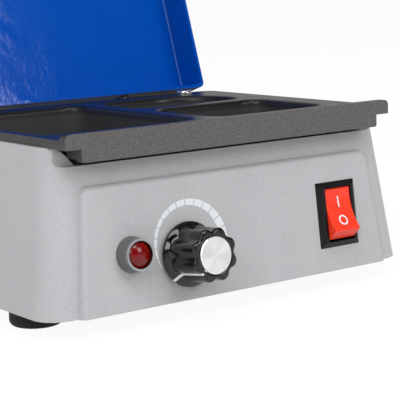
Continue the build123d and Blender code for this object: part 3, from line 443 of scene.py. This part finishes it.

# %% [markdown]
# ## Blue enamel on the lid
#
# The lid is folded sheet under a deep, wet-looking blue enamel. Thin sheet is never quite flat,
# so what it mirrors runs in soft waves, and the enamel has an orange peel that breaks up the
# edges of each mirrored lamp. One bump makes the waves, 16 mm long, and a second one on top of
# it the peel, 1.8 mm across. The narrow side that the hinges are on faces down while the lid is
# open, and there the blue is painted darker, as painted shade, and made dull. The direction that
# a face points in picks it out.

# %% Blue enamel
blue_enamel, tree, place = start_finish("blue_baked_enamel")
depth = add(tree, "TexNoise", {"Vector": place, "Scale": cells(30), "Detail": 1.0})
blue = add(
    tree,
    "Mix",
    {0: depth.outputs["Fac"], 6: linear("0044a3"), 7: linear("004aaa")},
    data_type="RGBA",
)
facing = add(tree, "SeparateXYZ", {"Vector": add(tree, "TexCoord").outputs["Normal"]})
# painted shade: faces that point down, the narrow side by the hinges, are painted a darker blue
painted_shade_down = add(
    tree,
    "MapRange",
    {"Value": facing.outputs["Z"], "From Min": -0.7, "From Max": -0.85},
)
blue_with_painted_shade = add(
    tree,
    "Mix",
    {0: painted_shade_down.outputs[0], 6: blue.outputs[2], 7: linear("002458")},
    data_type="RGBA",
)
dull = add(tree, "MapRange", {"Value": painted_shade_down.outputs[0], "To Min": 0.09, "To Max": 0.9})
waves = add(
    tree,
    "TexNoise",
    {"Vector": place, "Scale": cells(16), "Detail": 1.0, "Distortion": 0.4},
)
sheet = add(tree, "Bump", {"Strength": 0.5, "Distance": 0.4 * mm, "Height": waves.outputs["Fac"]})
peel = add(tree, "TexNoise", {"Vector": place, "Scale": cells(1.8), "Detail": 2.0})
skin = add(
    tree,
    "Bump",
    {
        "Strength": 0.5,
        "Distance": 0.07 * mm,
        "Height": peel.outputs["Fac"],
        "Normal": sheet.outputs[0],
    },
)
enamel = add(
    tree,
    "BsdfPrincipled",
    {
        "Base Color": blue_with_painted_shade.outputs[2],
        "Roughness": dull.outputs[0],
        "IOR": 1.5,
        "Normal": skin.outputs[0],
    },
)
add(tree, "OutputMaterial", {"Surface": enamel.outputs[0]})
dress(blue_enamel, "lid")
print("painted", "lid")

# %% [markdown]
# ## The panel's own directions
#
# The front panel leans back a little. The knob turns about an axis that stands square on the
# panel, so its joint gives the way out of the panel, and the other two directions follow. The
# lamp's ring and the knob's disc use the way out, and the printing further down all three.

# %% Directions
turns = {joint["name"]: joint for joint in frame["joints"]}
knob_centre = Vector(turns["temperature_knob"]["pos_m"])
panel_out = Vector(turns["temperature_knob"]["axis"]).normalized()
panel_right = Vector((1, 0, 0))
panel_up = panel_out.cross(panel_right).normalized()
print("panel leans", round(math.degrees(math.asin(panel_out.z)), 2), "degrees")

# %% [markdown]
# ## Metals
#
# Small screws are steel with a bright chrome or a duller zinc plating. The lamp's ring is
# plated brass with a satin side and a polished front edge, told apart by how far they stand out
# of the panel. Plating follows the metal under it, so a fine grain in the roughness is all that
# it needs: the picture in a metal is its surroundings. The hinges are blackened in a bath of
# salts, which leaves them dark and only a little shiny.

# %% Chrome, nickel, zinc and black oxide
chrome, tree, place = start_finish("chrome_plated_steel")
wipe = add(tree, "TexNoise", {"Vector": place, "Scale": cells(0.9), "Detail": 3.0})
rub = add(tree, "MapRange", {"Value": wipe.outputs["Fac"], "To Min": 0.10, "To Max": 0.26})
plate = add(
    tree,
    "BsdfPrincipled",
    {"Base Color": linear("cfd1d4"), "Metallic": 1.0, "Roughness": rub.outputs[0]},
)
add(tree, "OutputMaterial", {"Surface": plate.outputs[0]})
dress(chrome, "tray_screws", "hinge_screws", "lid_rivets", "control_shaft")

lens_low, lens_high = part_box("lamp_lens")
edge_full = (lens_low + lens_high).dot(panel_out) / 2 + 0.9 * mm
edge_start = edge_full - 0.1 * mm
nickel, tree, place = start_finish("satin_nickel_plated_brass")
height = add(tree, "VectorMath", {0: place, 1: tuple(panel_out)}, operation="DOT_PRODUCT")
polished = add(
    tree,
    "MapRange",
    {"Value": height.outputs["Value"], "From Min": edge_start, "From Max": edge_full},
)
grain = add(tree, "TexNoise", {"Vector": place, "Scale": cells(0.5), "Detail": 2.0})
satin = add(
    tree,
    "Mix",
    {0: grain.outputs["Fac"], 6: linear("7d7d7d"), 7: linear("8e8e8d")},
    data_type="RGBA",
)
tone = add(
    tree,
    "Mix",
    {0: polished.outputs[0], 6: satin.outputs[2], 7: linear("b0b1b3")},
    data_type="RGBA",
)
rub = add(tree, "MapRange", {"Value": polished.outputs[0], "To Min": 0.42, "To Max": 0.1})
plate = add(
    tree,
    "BsdfPrincipled",
    {"Base Color": tone.outputs[2], "Metallic": 1.0, "Roughness": rub.outputs[0]},
)
add(tree, "OutputMaterial", {"Surface": plate.outputs[0]})
dress(nickel, "lamp_bezel")

zinc, tree, place = start_finish("zinc_plated_steel")
flakes = add(tree, "TexVoronoi", {"Vector": place, "Scale": cells(3.5)})
tint = add(tree, "SeparateColor", {"Color": flakes.outputs["Color"]})
shade = add(
    tree,
    "Mix",
    {0: tint.outputs[0], 6: linear("9da1a5"), 7: linear("b9bcbf")},
    data_type="RGBA",
)
fine = add(tree, "TexNoise", {"Vector": place, "Scale": cells(0.4), "Detail": 3.0})
rub = add(tree, "MapRange", {"Value": fine.outputs["Fac"], "To Min": 0.28, "To Max": 0.46})
plate = add(
    tree,
    "BsdfPrincipled",
    {"Base Color": shade.outputs[2], "Metallic": 1.0, "Roughness": rub.outputs[0]},
)
add(tree, "OutputMaterial", {"Surface": plate.outputs[0]})
dress(
    zinc,
    "base_plate",
    "base_screws",
    "clamp_plate",
    "clamp_screws",
    "sensor_clip",
    "thermostat_body",
    "thermostat_neck",
    "thermostat_washer",
    "thermostat_nut",
    "lamp_nut",
    "knob_set_screw",
    "inlet_screws",
    "inlet_nuts",
    "earth_screw",
    "earth_nut",
    "heating_element",
)

black_oxide, tree, place = start_finish("blackened_steel")
salts = add(tree, "TexNoise", {"Vector": place, "Scale": cells(1.8), "Detail": 3.0})
tone = add(
    tree,
    "Mix",
    {0: salts.outputs["Fac"], 6: linear("121316"), 7: linear("26282c")},
    data_type="RGBA",
)
rub = add(tree, "MapRange", {"Value": salts.outputs["Fac"], "To Min": 0.34, "To Max": 0.5})
oxide = add(
    tree,
    "BsdfPrincipled",
    {"Base Color": tone.outputs[2], "Roughness": rub.outputs[0], "Specular IOR Level": 0.4},
)
add(tree, "OutputMaterial", {"Surface": oxide.outputs[0]})
for side in ("left", "right"):
    dress(black_oxide, f"hinge_lid_leaf_{side}", f"hinge_housing_leaf_{side}", f"hinge_pin_{side}")
print("plated three metals and blackened the hinges")

# %% Brass and copper
brass, tree, place = start_finish("tarnished_brass")
stain = add(tree, "TexNoise", {"Vector": place, "Scale": cells(2.5), "Detail": 3.0})
tone = add(
    tree,
    "Mix",
    {0: stain.outputs["Fac"], 6: linear("a8843c"), 7: linear("d2b264")},
    data_type="RGBA",
)
metal = add(
    tree,
    "BsdfPrincipled",
    {"Base Color": tone.outputs[2], "Metallic": 1.0, "Roughness": 0.3},
)
add(tree, "OutputMaterial", {"Surface": metal.outputs[0]})
dress(brass, "knob_bushing", "inlet_pins", "switch_terminals")

copper, tree, place = start_finish("drawn_copper_tube")
stain = add(tree, "TexNoise", {"Vector": place, "Scale": cells(3), "Detail": 2.0})
tone = add(
    tree,
    "Mix",
    {0: stain.outputs["Fac"], 6: linear("9c5a3c"), 7: linear("c98463")},
    data_type="RGBA",
)
metal = add(
    tree,
    "BsdfPrincipled",
    {"Base Color": tone.outputs[2], "Metallic": 1.0, "Roughness": 0.32},
)
add(tree, "OutputMaterial", {"Surface": metal.outputs[0]})
dress(copper, "sensor_bulb", "capillary")
print("yellow and red metals done")

# %% [markdown]
# ## Spun aluminium on the knob
#
# The bright disc on the knob is turned on a lathe, and the tool leaves rings too fine to see.
# They stretch each highlight across the disc into two bright fans. The shader does the same
# when it is told which way the rings run at each point: square to the line from the centre. A
# very low bump draws rings as well, coarser than the real ones, so that a few of them show.

# %% Spun aluminium
ring_pitch = 0.22 * mm

spun, tree, place = start_finish("spun_aluminium")
from_centre = add(tree, "VectorMath", {0: place, 1: tuple(knob_centre)}, operation="SUBTRACT")
along_rings = add(
    tree,
    "VectorMath",
    {0: from_centre.outputs[0], 1: tuple(panel_out)},
    operation="CROSS_PRODUCT",
)
tangent = add(
    tree,
    "VectorTransform",
    {"Vector": along_rings.outputs[0]},
    vector_type="VECTOR",
    convert_from="OBJECT",
    convert_to="WORLD",
)
reach = add(tree, "VectorMath", {0: along_rings.outputs[0]}, operation="LENGTH")
ring_turns = {0: reach.outputs["Value"], 1: 2 * math.pi / ring_pitch}
rings = add(tree, "Math", ring_turns, operation="MULTIPLY")
groove = add(tree, "Math", {0: rings.outputs[0]}, operation="SINE")
skin = add(tree, "Bump", {"Strength": 0.15, "Distance": 0.01 * mm, "Height": groove.outputs[0]})
metal = add(
    tree,
    "BsdfPrincipled",
    {
        "Base Color": linear("f4f4f5"),
        "Metallic": 1.0,
        "Roughness": 0.26,
        "Anisotropic": 0.8,
        "Tangent": tangent.outputs[0],
        "Normal": skin.outputs[0],
    },
)
add(tree, "OutputMaterial", {"Surface": metal.outputs[0]})
dress(spun, "knob_disc")
print("knob centre in mm", [round(v / mm, 2) for v in knob_centre])

# %% [markdown]
# ## Moulded plastics and rubber
#
# The knob is pressed from a hard, glossy black plastic. The switch and the inlet are a softer
# black with a fine spark-eroded grain. The rocker and the lamp's cap are coloured right
# through, so light goes a little way into them, which the shader calls subsurface.

# %% Black plastics and rubber
knob_plastic, tree, place = start_finish("glossy_black_phenolic")
haze = add(tree, "TexNoise", {"Vector": place, "Scale": cells(2.2), "Detail": 2.0})
rub = add(tree, "MapRange", {"Value": haze.outputs["Fac"], "To Min": 0.07, "To Max": 0.13})
skin = add(tree, "Bump", {"Strength": 0.2, "Distance": 0.03 * mm, "Height": haze.outputs["Fac"]})
plastic = add(
    tree,
    "BsdfPrincipled",
    {
        "Base Color": linear("0b0a0c"),
        "Roughness": rub.outputs[0],
        "IOR": 1.55,
        "Specular IOR Level": 0.5,
        "Normal": skin.outputs[0],
    },
)
add(tree, "OutputMaterial", {"Surface": plastic.outputs[0]})
dress(knob_plastic, "knob")

black_plastic, tree, place = start_finish("grained_black_nylon")
grain = add(tree, "TexNoise", {"Vector": place, "Scale": cells(0.35), "Detail": 2.0})
skin = add(tree, "Bump", {"Strength": 0.3, "Distance": 0.04 * mm, "Height": grain.outputs["Fac"]})
rub = add(tree, "MapRange", {"Value": grain.outputs["Fac"], "To Min": 0.36, "To Max": 0.5})
plastic = add(
    tree,
    "BsdfPrincipled",
    {
        "Base Color": linear("0e0d0f"),
        "Roughness": rub.outputs[0],
        "IOR": 1.5,
        "Specular IOR Level": 0.25,
        "Normal": skin.outputs[0],
    },
)
add(tree, "OutputMaterial", {"Surface": plastic.outputs[0]})
dress(black_plastic, "switch_frame", "power_inlet", "lamp_body", "thermal_cutout")

rubber, tree, place = start_finish("black_rubber")
dust = add(tree, "TexNoise", {"Vector": place, "Scale": cells(1.2), "Detail": 4.0})
tone = add(
    tree,
    "Mix",
    {0: dust.outputs["Fac"], 6: linear("060607"), 7: linear("101011")},
    data_type="RGBA",
)
skin = add(tree, "Bump", {"Strength": 0.3, "Distance": 0.06 * mm, "Height": dust.outputs["Fac"]})
plastic = add(
    tree,
    "BsdfPrincipled",
    {"Base Color": tone.outputs[2], "Roughness": 0.75, "IOR": 1.5, "Normal": skin.outputs[0]},
)
add(tree, "OutputMaterial", {"Surface": plastic.outputs[0]})
dress(rubber, "foot_front_left", "foot_front_right", "foot_back_left", "foot_back_right")
print("black plastics and rubber done")

# %% Red plastics
rocker_red, tree, place = start_finish("red_moulded_nylon")
flow = add(tree, "TexNoise", {"Vector": place, "Scale": cells(2.5), "Detail": 2.0})
tone = add(
    tree,
    "Mix",
    {0: flow.outputs["Fac"], 6: linear("e8301c"), 7: linear("f24428")},
    data_type="RGBA",
)
skin = add(tree, "Bump", {"Strength": 0.1, "Distance": 0.04 * mm, "Height": flow.outputs["Fac"]})
plastic = add(
    tree,
    "BsdfPrincipled",
    {
        "Base Color": tone.outputs[2],
        "Roughness": 0.26,
        "IOR": 1.5,
        "Specular IOR Level": 0.35,
        "Subsurface Weight": 0.15,
        "Subsurface Radius": (1.0, 0.15, 0.08),
        "Subsurface Scale": 1.2 * mm,
        "Normal": skin.outputs[0],
    },
)
add(tree, "OutputMaterial", {"Surface": plastic.outputs[0]})
dress(rocker_red, "switch_rocker")

lens_red, tree, place = start_finish("clear_red_acrylic")
ribs = add(tree, "TexVoronoi", {"Vector": place, "Scale": cells(1.4)})
tone = add(
    tree,
    "Mix",
    {0: ribs.outputs["Distance"], 6: linear("800000"), 7: linear("5c0000")},
    data_type="RGBA",
)
plastic = add(
    tree,
    "BsdfPrincipled",
    {
        "Base Color": tone.outputs[2],
        "Roughness": 0.18,
        "IOR": 1.49,
        "Subsurface Weight": 0.15,
        "Subsurface Radius": (1.0, 0.05, 0.03),
        "Subsurface Scale": 2 * mm,
    },
)
add(tree, "OutputMaterial", {"Surface": plastic.outputs[0]})
dress(lens_red, "lamp_lens")
print("red plastics done")

# %% [markdown]
# ## Inside pieces
#
# On the base plate, under the wells, lies a mineral wool pad, and two sleeved wires join the
# inlet, the switch and the thermostat. They only show when the bottom is off, but each still
# has the colour of the real stuff.

# %% Pad and wires
pad_wool, tree, place = start_finish("mineral_fibre_pad")
fibres = add(tree, "Mapping", {"Vector": place, "Scale": (1, 0.15, 1)})
strands = add(tree, "TexNoise", {"Vector": fibres.outputs[0], "Scale": cells(0.5), "Detail": 5.0})
tone = add(
    tree,
    "Mix",
    {0: strands.outputs["Fac"], 6: linear("b5ac98"), 7: linear("e4ddcb")},
    data_type="RGBA",
)
skin = add(tree, "Bump", {"Strength": 0.8, "Distance": 0.3 * mm, "Height": strands.outputs["Fac"]})
wool = add(
    tree,
    "BsdfPrincipled",
    {"Base Color": tone.outputs[2], "Roughness": 0.95, "Normal": skin.outputs[0]},
)
add(tree, "OutputMaterial", {"Surface": wool.outputs[0]})
dress(pad_wool, "insulation_pad")

sheath, tree, place = start_finish("braided_glass_sleeve")
braid = add(tree, "TexNoise", {"Vector": place, "Scale": cells(0.6), "Detail": 2.0})
tone = add(
    tree,
    "Mix",
    {0: braid.outputs["Fac"], 6: linear("8f2018"), 7: linear("c23a2c")},
    data_type="RGBA",
)
skin = add(tree, "Bump", {"Strength": 0.4, "Distance": 0.1 * mm, "Height": braid.outputs["Fac"]})
cloth = add(
    tree,
    "BsdfPrincipled",
    {"Base Color": tone.outputs[2], "Roughness": 0.8, "Normal": skin.outputs[0]},
)
add(tree, "OutputMaterial", {"Surface": cloth.outputs[0]})
dress(sheath, "wires")
print("undressed:", [name for name, node in frame["nodes"].items() if not node.data.materials])

# %% [markdown]
# ## Turning a drawn shape into a piece
#
# Each printed mark is drawn flat, in millimetres, as if it lay on a table with its face up.
# Then it is given a little thickness and moved to its place on the panel, the knob or the
# rocker. Its place goes into its mesh, so the piece's own origin stays where the model's is.

# %% Finish a piece
white_paint, tree, place = start_finish("white_screen_print")
mesh_marks = add(tree, "TexNoise", {"Vector": place, "Scale": cells(0.7), "Detail": 2.0})
tone = add(
    tree,
    "Mix",
    {0: mesh_marks.outputs["Fac"], 6: linear("d2d6d9"), 7: linear("e2e5e7")},
    data_type="RGBA",
)
ink = add(
    tree,
    "BsdfPrincipled",
    {"Base Color": tone.outputs[2], "Roughness": 0.45, "IOR": 1.45},
)
add(tree, "OutputMaterial", {"Surface": ink.outputs[0]})

same_point = 0.0005  # points closer than this, in mm, become one
print_height = 0.06  # of printing and of the rocker's marks, in mm


def make_piece(name, shape, matrix, material, body):
    """Puts a shape drawn in millimetres in its place, as a piece that rides on a body."""
    bmesh.ops.remove_doubles(shape, verts=shape.verts, dist=same_point)
    shape.transform(matrix @ Matrix.Scale(mm, 4))
    bmesh.ops.recalc_face_normals(shape, faces=shape.faces)
    mesh = bpy.data.meshes.new(name)
    shape.to_mesh(mesh)
    shape.free()
    mesh.materials.append(material)
    piece = bpy.data.objects.new(name, mesh)
    bpy.context.scene.collection.objects.link(piece)
    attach(piece, body)
    return piece


def plane_at(origin, right, up, out):
    """The matrix of a flat place: right, up and outwards become X, Y and Z."""
    turn = Matrix((right, up, out)).transposed().to_4x4()
    return Matrix.Translation(origin) @ turn


def spin(shape, points, edges, angle, steps):
    """Turns a drawn line about Z, so that it sweeps out faces. A full turn closes on itself."""
    bmesh.ops.spin(
        shape,
        geom=points + edges,
        cent=(0, 0, 0),
        axis=(0, 0, 1),
        angle=angle,
        steps=steps,
        use_merge=angle == 2 * math.pi,
    )


def thicken(shape):
    """Lifts a copy of every face by the height of the print and closes the sides."""
    made = bmesh.ops.extrude_face_region(shape, geom=shape.faces[:], use_keep_orig=True)
    top = [item for item in made["geom"] if isinstance(item, bmesh.types.BMVert)]
    bmesh.ops.translate(shape, verts=top, vec=(0, 0, print_height))


panel_plane = plane_at(knob_centre, panel_right, panel_up, panel_out)
print("printing is", print_height, "mm high")

# %% [markdown]
# ## The dial's scale
#
# Round the knob the panel carries a white printed band of blocks, thin at the cool end and
# broad at the hot end. A short radial edge spun through one block's angle makes a block, and
# its outer points then move out to the width that the band has at their angle.

# %% Dial scale
scale_centre = Vector((0.94, 2.77))  # from the knob's axis, right and up, in mm
scale_inner = 11.15
scale_cool, scale_growth = 11.6, 2.6  # the outer radius at the cool end, and what it gains
scale_start, scale_end = 210.0, -30.0  # degrees round the dial, from the right
block_angle, block_gap = 15.0, 1.5
first_outer = 13.0  # the outer radius as spun, before each point gets its own
scale_sink = 0.01  # into the panel, so that no gap shows


def scale_outer(angle):
    """The band's outer radius at an angle, both as the eye sees them on the panel."""
    return scale_cool + (scale_start - angle) / (scale_start - scale_end) * scale_growth


band = bmesh.new()
blocks = round((scale_start - scale_end) / block_angle)
for number in range(blocks):
    first = math.radians(scale_start - (number + 1) * block_angle + block_gap / 2)
    ends = [
        band.verts.new((radius * math.cos(first), radius * math.sin(first), 0))
        for radius in (scale_inner, first_outer)
    ]
    spin(band, ends, [band.edges.new(ends)], math.radians(block_angle - block_gap), 6)
for point in band.verts:
    if point.co.length > (scale_inner + first_outer) / 2:
        turn = math.degrees(math.atan2(point.co.y, point.co.x))
        turn = turn + 360 if turn < -90 else turn
        point.co *= scale_outer(turn) / point.co.length
thicken(band)
bmesh.ops.translate(band, verts=band.verts, vec=(*scale_centre, -scale_sink))
make_piece("dial_scale", band, panel_plane, white_paint, "base")
print("dial blocks", blocks)

# %% [markdown]
# ## The knob's moulded shape
#
# The pressed knob has no sharp edge anywhere: its skirt swells and then sweeps up into the grip,
# and the grip's hollows start from nothing on the skirt. The solid model has the same sizes with
# plain cones. Here half of the outline is spun about the axis, and each point that lies on the
# grip then moves in by the depth of the hollow at its angle.

# %% Knob
hollows, hollow_depth = 8, 1.1
hollow_start, hollow_full = 2.3, 4.4  # heights over the panel where they set in and are full
hollow_sharpness = 1.3
front_start, front_width = 5.9, 1.2  # the radius where they set in on the front, and over how much
grip_foot, grip_taper, grip_height, grip_steps = (8.1, 4.1), 0.2, 8.8, 14

# Each point is a radius and a height, from the bushing's front down the inside and back up.
outline = [(4.6, 11.6), (4.6, 4.0), (7.7, 4.0), (7.7, 1.0), (9.3, 1.0), (9.45, 1.15)]
skirt_side = len(outline)
outline += [(9.45, 1.6), (9.4, 1.85), (9.26, 2.05), (8.98, 2.32), (8.7, 2.59), (8.42, 2.86)]
outline += [(8.22, 3.12), (8.16, 3.3), (8.12, 3.5), (8.11, 3.7), (8.1, 3.9), grip_foot]
for step in range(1, grip_steps + 1):
    narrower, higher = grip_taper * step / grip_steps, grip_height * step / grip_steps
    outline += [(grip_foot[0] - narrower, grip_foot[1] + higher)]
outline += [(7.84, 13.2), (7.7, 13.45)]
front_edge = len(outline)
outline += [(7.45, 13.62), (7.15, 13.7), (6.6, 13.7), (6.1, 13.7), (5.4, 13.7), (5.4, 13.5)]
outline += [(0.0, 13.5)]


def hollow_at(angle, height, radius):
    """How far a point of the grip lies inside its round outline."""
    across = 0.5 + 0.5 * math.cos(hollows * (angle - math.pi / 2))
    rise = min(max((height - hollow_start) / (hollow_full - hollow_start), 0), 1)
    share = min(max((radius - front_start) / front_width, 0), 1)
    return hollow_depth * across**hollow_sharpness * rise * rise * (3 - 2 * rise) * share


grip = bmesh.new()
points = [grip.verts.new((radius, 0, height)) for radius, height in [(0.0, 11.6)] + outline]
edges = [grip.edges.new(pair) for pair in zip(points, points[1:])]
spin(grip, points, edges, 2 * math.pi, 176)
bmesh.ops.remove_doubles(grip, verts=grip.verts, dist=same_point)
for point in grip.verts:
    reach = math.hypot(point.co.x, point.co.y)
    if point.co.z > hollow_start and reach > front_start:
        depth = hollow_at(math.atan2(point.co.y, point.co.x), point.co.z, reach)
        point.co.x *= 1 - depth / reach
        point.co.y *= 1 - depth / reach
for face in grip.faces:
    face.smooth = True
knob_shape = make_piece("moulded_knob", grip, panel_plane, knob_plastic, "knob")
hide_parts("knob")
print("knob has", len(knob_shape.data.polygons), "faces")

# %% [markdown]
# ## The pointer line on the knob
#
# A thin white line runs up the skirt, along one hollow of the grip and over the front ring to
# the bright disc. It is painted, so it bends with the surface. A chain of points follows the
# knob's own profile, the chain is swept sideways to a ribbon, and the ribbon is lifted a hair.

# %% Pointer line
line_half, line_lift, line_thickness = 0.42, 0.12, 0.08
line_end = (5.55, 13.7)  # a radius and a height, beside the disc
line_turn = 225  # degrees round the knob, from the right
hollow_middle = math.pi / 2

profile = [
    (radius - hollow_at(hollow_middle, height, radius) + line_lift, height)
    for radius, height in outline[skirt_side:front_edge]
]
over_the_front = [profile[-1], line_end]
profile += [(radius - line_lift, height + line_lift / 2) for radius, height in over_the_front]
line = bmesh.new()
points = [line.verts.new((radius, -line_half, height)) for radius, height in profile]
edges = [line.edges.new(pair) for pair in zip(points, points[1:])]
swept = bmesh.ops.extrude_edge_only(line, edges=edges)
far = [item for item in swept["geom"] if isinstance(item, bmesh.types.BMVert)]
bmesh.ops.translate(line, verts=far, vec=(0, 2 * line_half, 0))
bmesh.ops.recalc_face_normals(line, faces=line.faces)
everything = line.faces[:] + line.edges[:] + line.verts[:]
bmesh.ops.solidify(line, geom=everything, thickness=line_thickness)
turn = Matrix.Rotation(math.radians(line_turn), 4, "Z")
make_piece("knob_pointer", line, panel_plane @ turn, white_paint, "knob")
lengths = [math.dist(first, second) for first, second in zip(profile, profile[1:])]
print("pointer length in mm", round(sum(lengths), 1))

# %% [markdown]
# ## The marks on the rocker
#
# A bar for on and a ring for off are moulded into the rocker's hollow face in white. They are
# drawn flat and then dropped onto the hollow, whose height is a circle through its two ends
# and its middle.

# %% Rocker marks
face_half, face_dip = 6.7, 1.4  # half the hollow's length, and its depth, in mm
face_radius = (face_half**2 + face_dip**2) / (2 * face_dip)
pivot_depth, face_middle = 2.9, 1.65  # under and over the panel
rest_angle = 15.1  # degrees that the rocker is tipped at rest
bar_size, bar_up = (0.5, 3.4), 2.6
ring_radii, ring_up = (1.15, 1.65), -3.36


def drop_on_face(shape):
    """Moves drawn points to the rocker's hollow face, a hair above it."""
    for point in shape.verts:
        sag = face_radius - math.sqrt(face_radius**2 - point.co.y**2)
        point.co.z += face_middle + pivot_depth + sag


rocker_pivot = Vector(turns["power_rocker"]["pos_m"])
rest_turn = Matrix.Rotation(math.radians(-rest_angle), 4, "X")
rocker_plane = plane_at(rocker_pivot, panel_right, panel_up, panel_out) @ rest_turn

bar = bmesh.new()
bmesh.ops.create_grid(bar, x_segments=1, y_segments=6, size=0.5)
bmesh.ops.scale(bar, verts=bar.verts, vec=(*bar_size, 1))
bmesh.ops.translate(bar, verts=bar.verts, vec=(0, bar_up, 0))
thicken(bar)
drop_on_face(bar)
on_mark = make_piece("rocker_on_mark", bar, rocker_plane, white_paint, "rocker")

circle = bmesh.new()
ends = [circle.verts.new((radius, 0, 0)) for radius in ring_radii]
spin(circle, ends, [circle.edges.new(ends)], 2 * math.pi, 40)
thicken(circle)
bmesh.ops.translate(circle, verts=circle.verts, vec=(0, ring_up, 0))
drop_on_face(circle)
off_mark = make_piece("rocker_off_mark", circle, rocker_plane, white_paint, "rocker")
print("marks on the rocker:", on_mark.name, off_mark.name)

# %% [markdown]
#
# The dressed heater has to stay inside the solid model's box, so the cell below prints how far
# the dressed box reaches past the solid model's box on each side.

# %% Sizes
shown_low, shown_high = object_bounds()
grown = (*(cad_low - shown_low), *(shown_high - cad_high))
print("box grew by mm", [round(v / mm, 3) for v in grown])
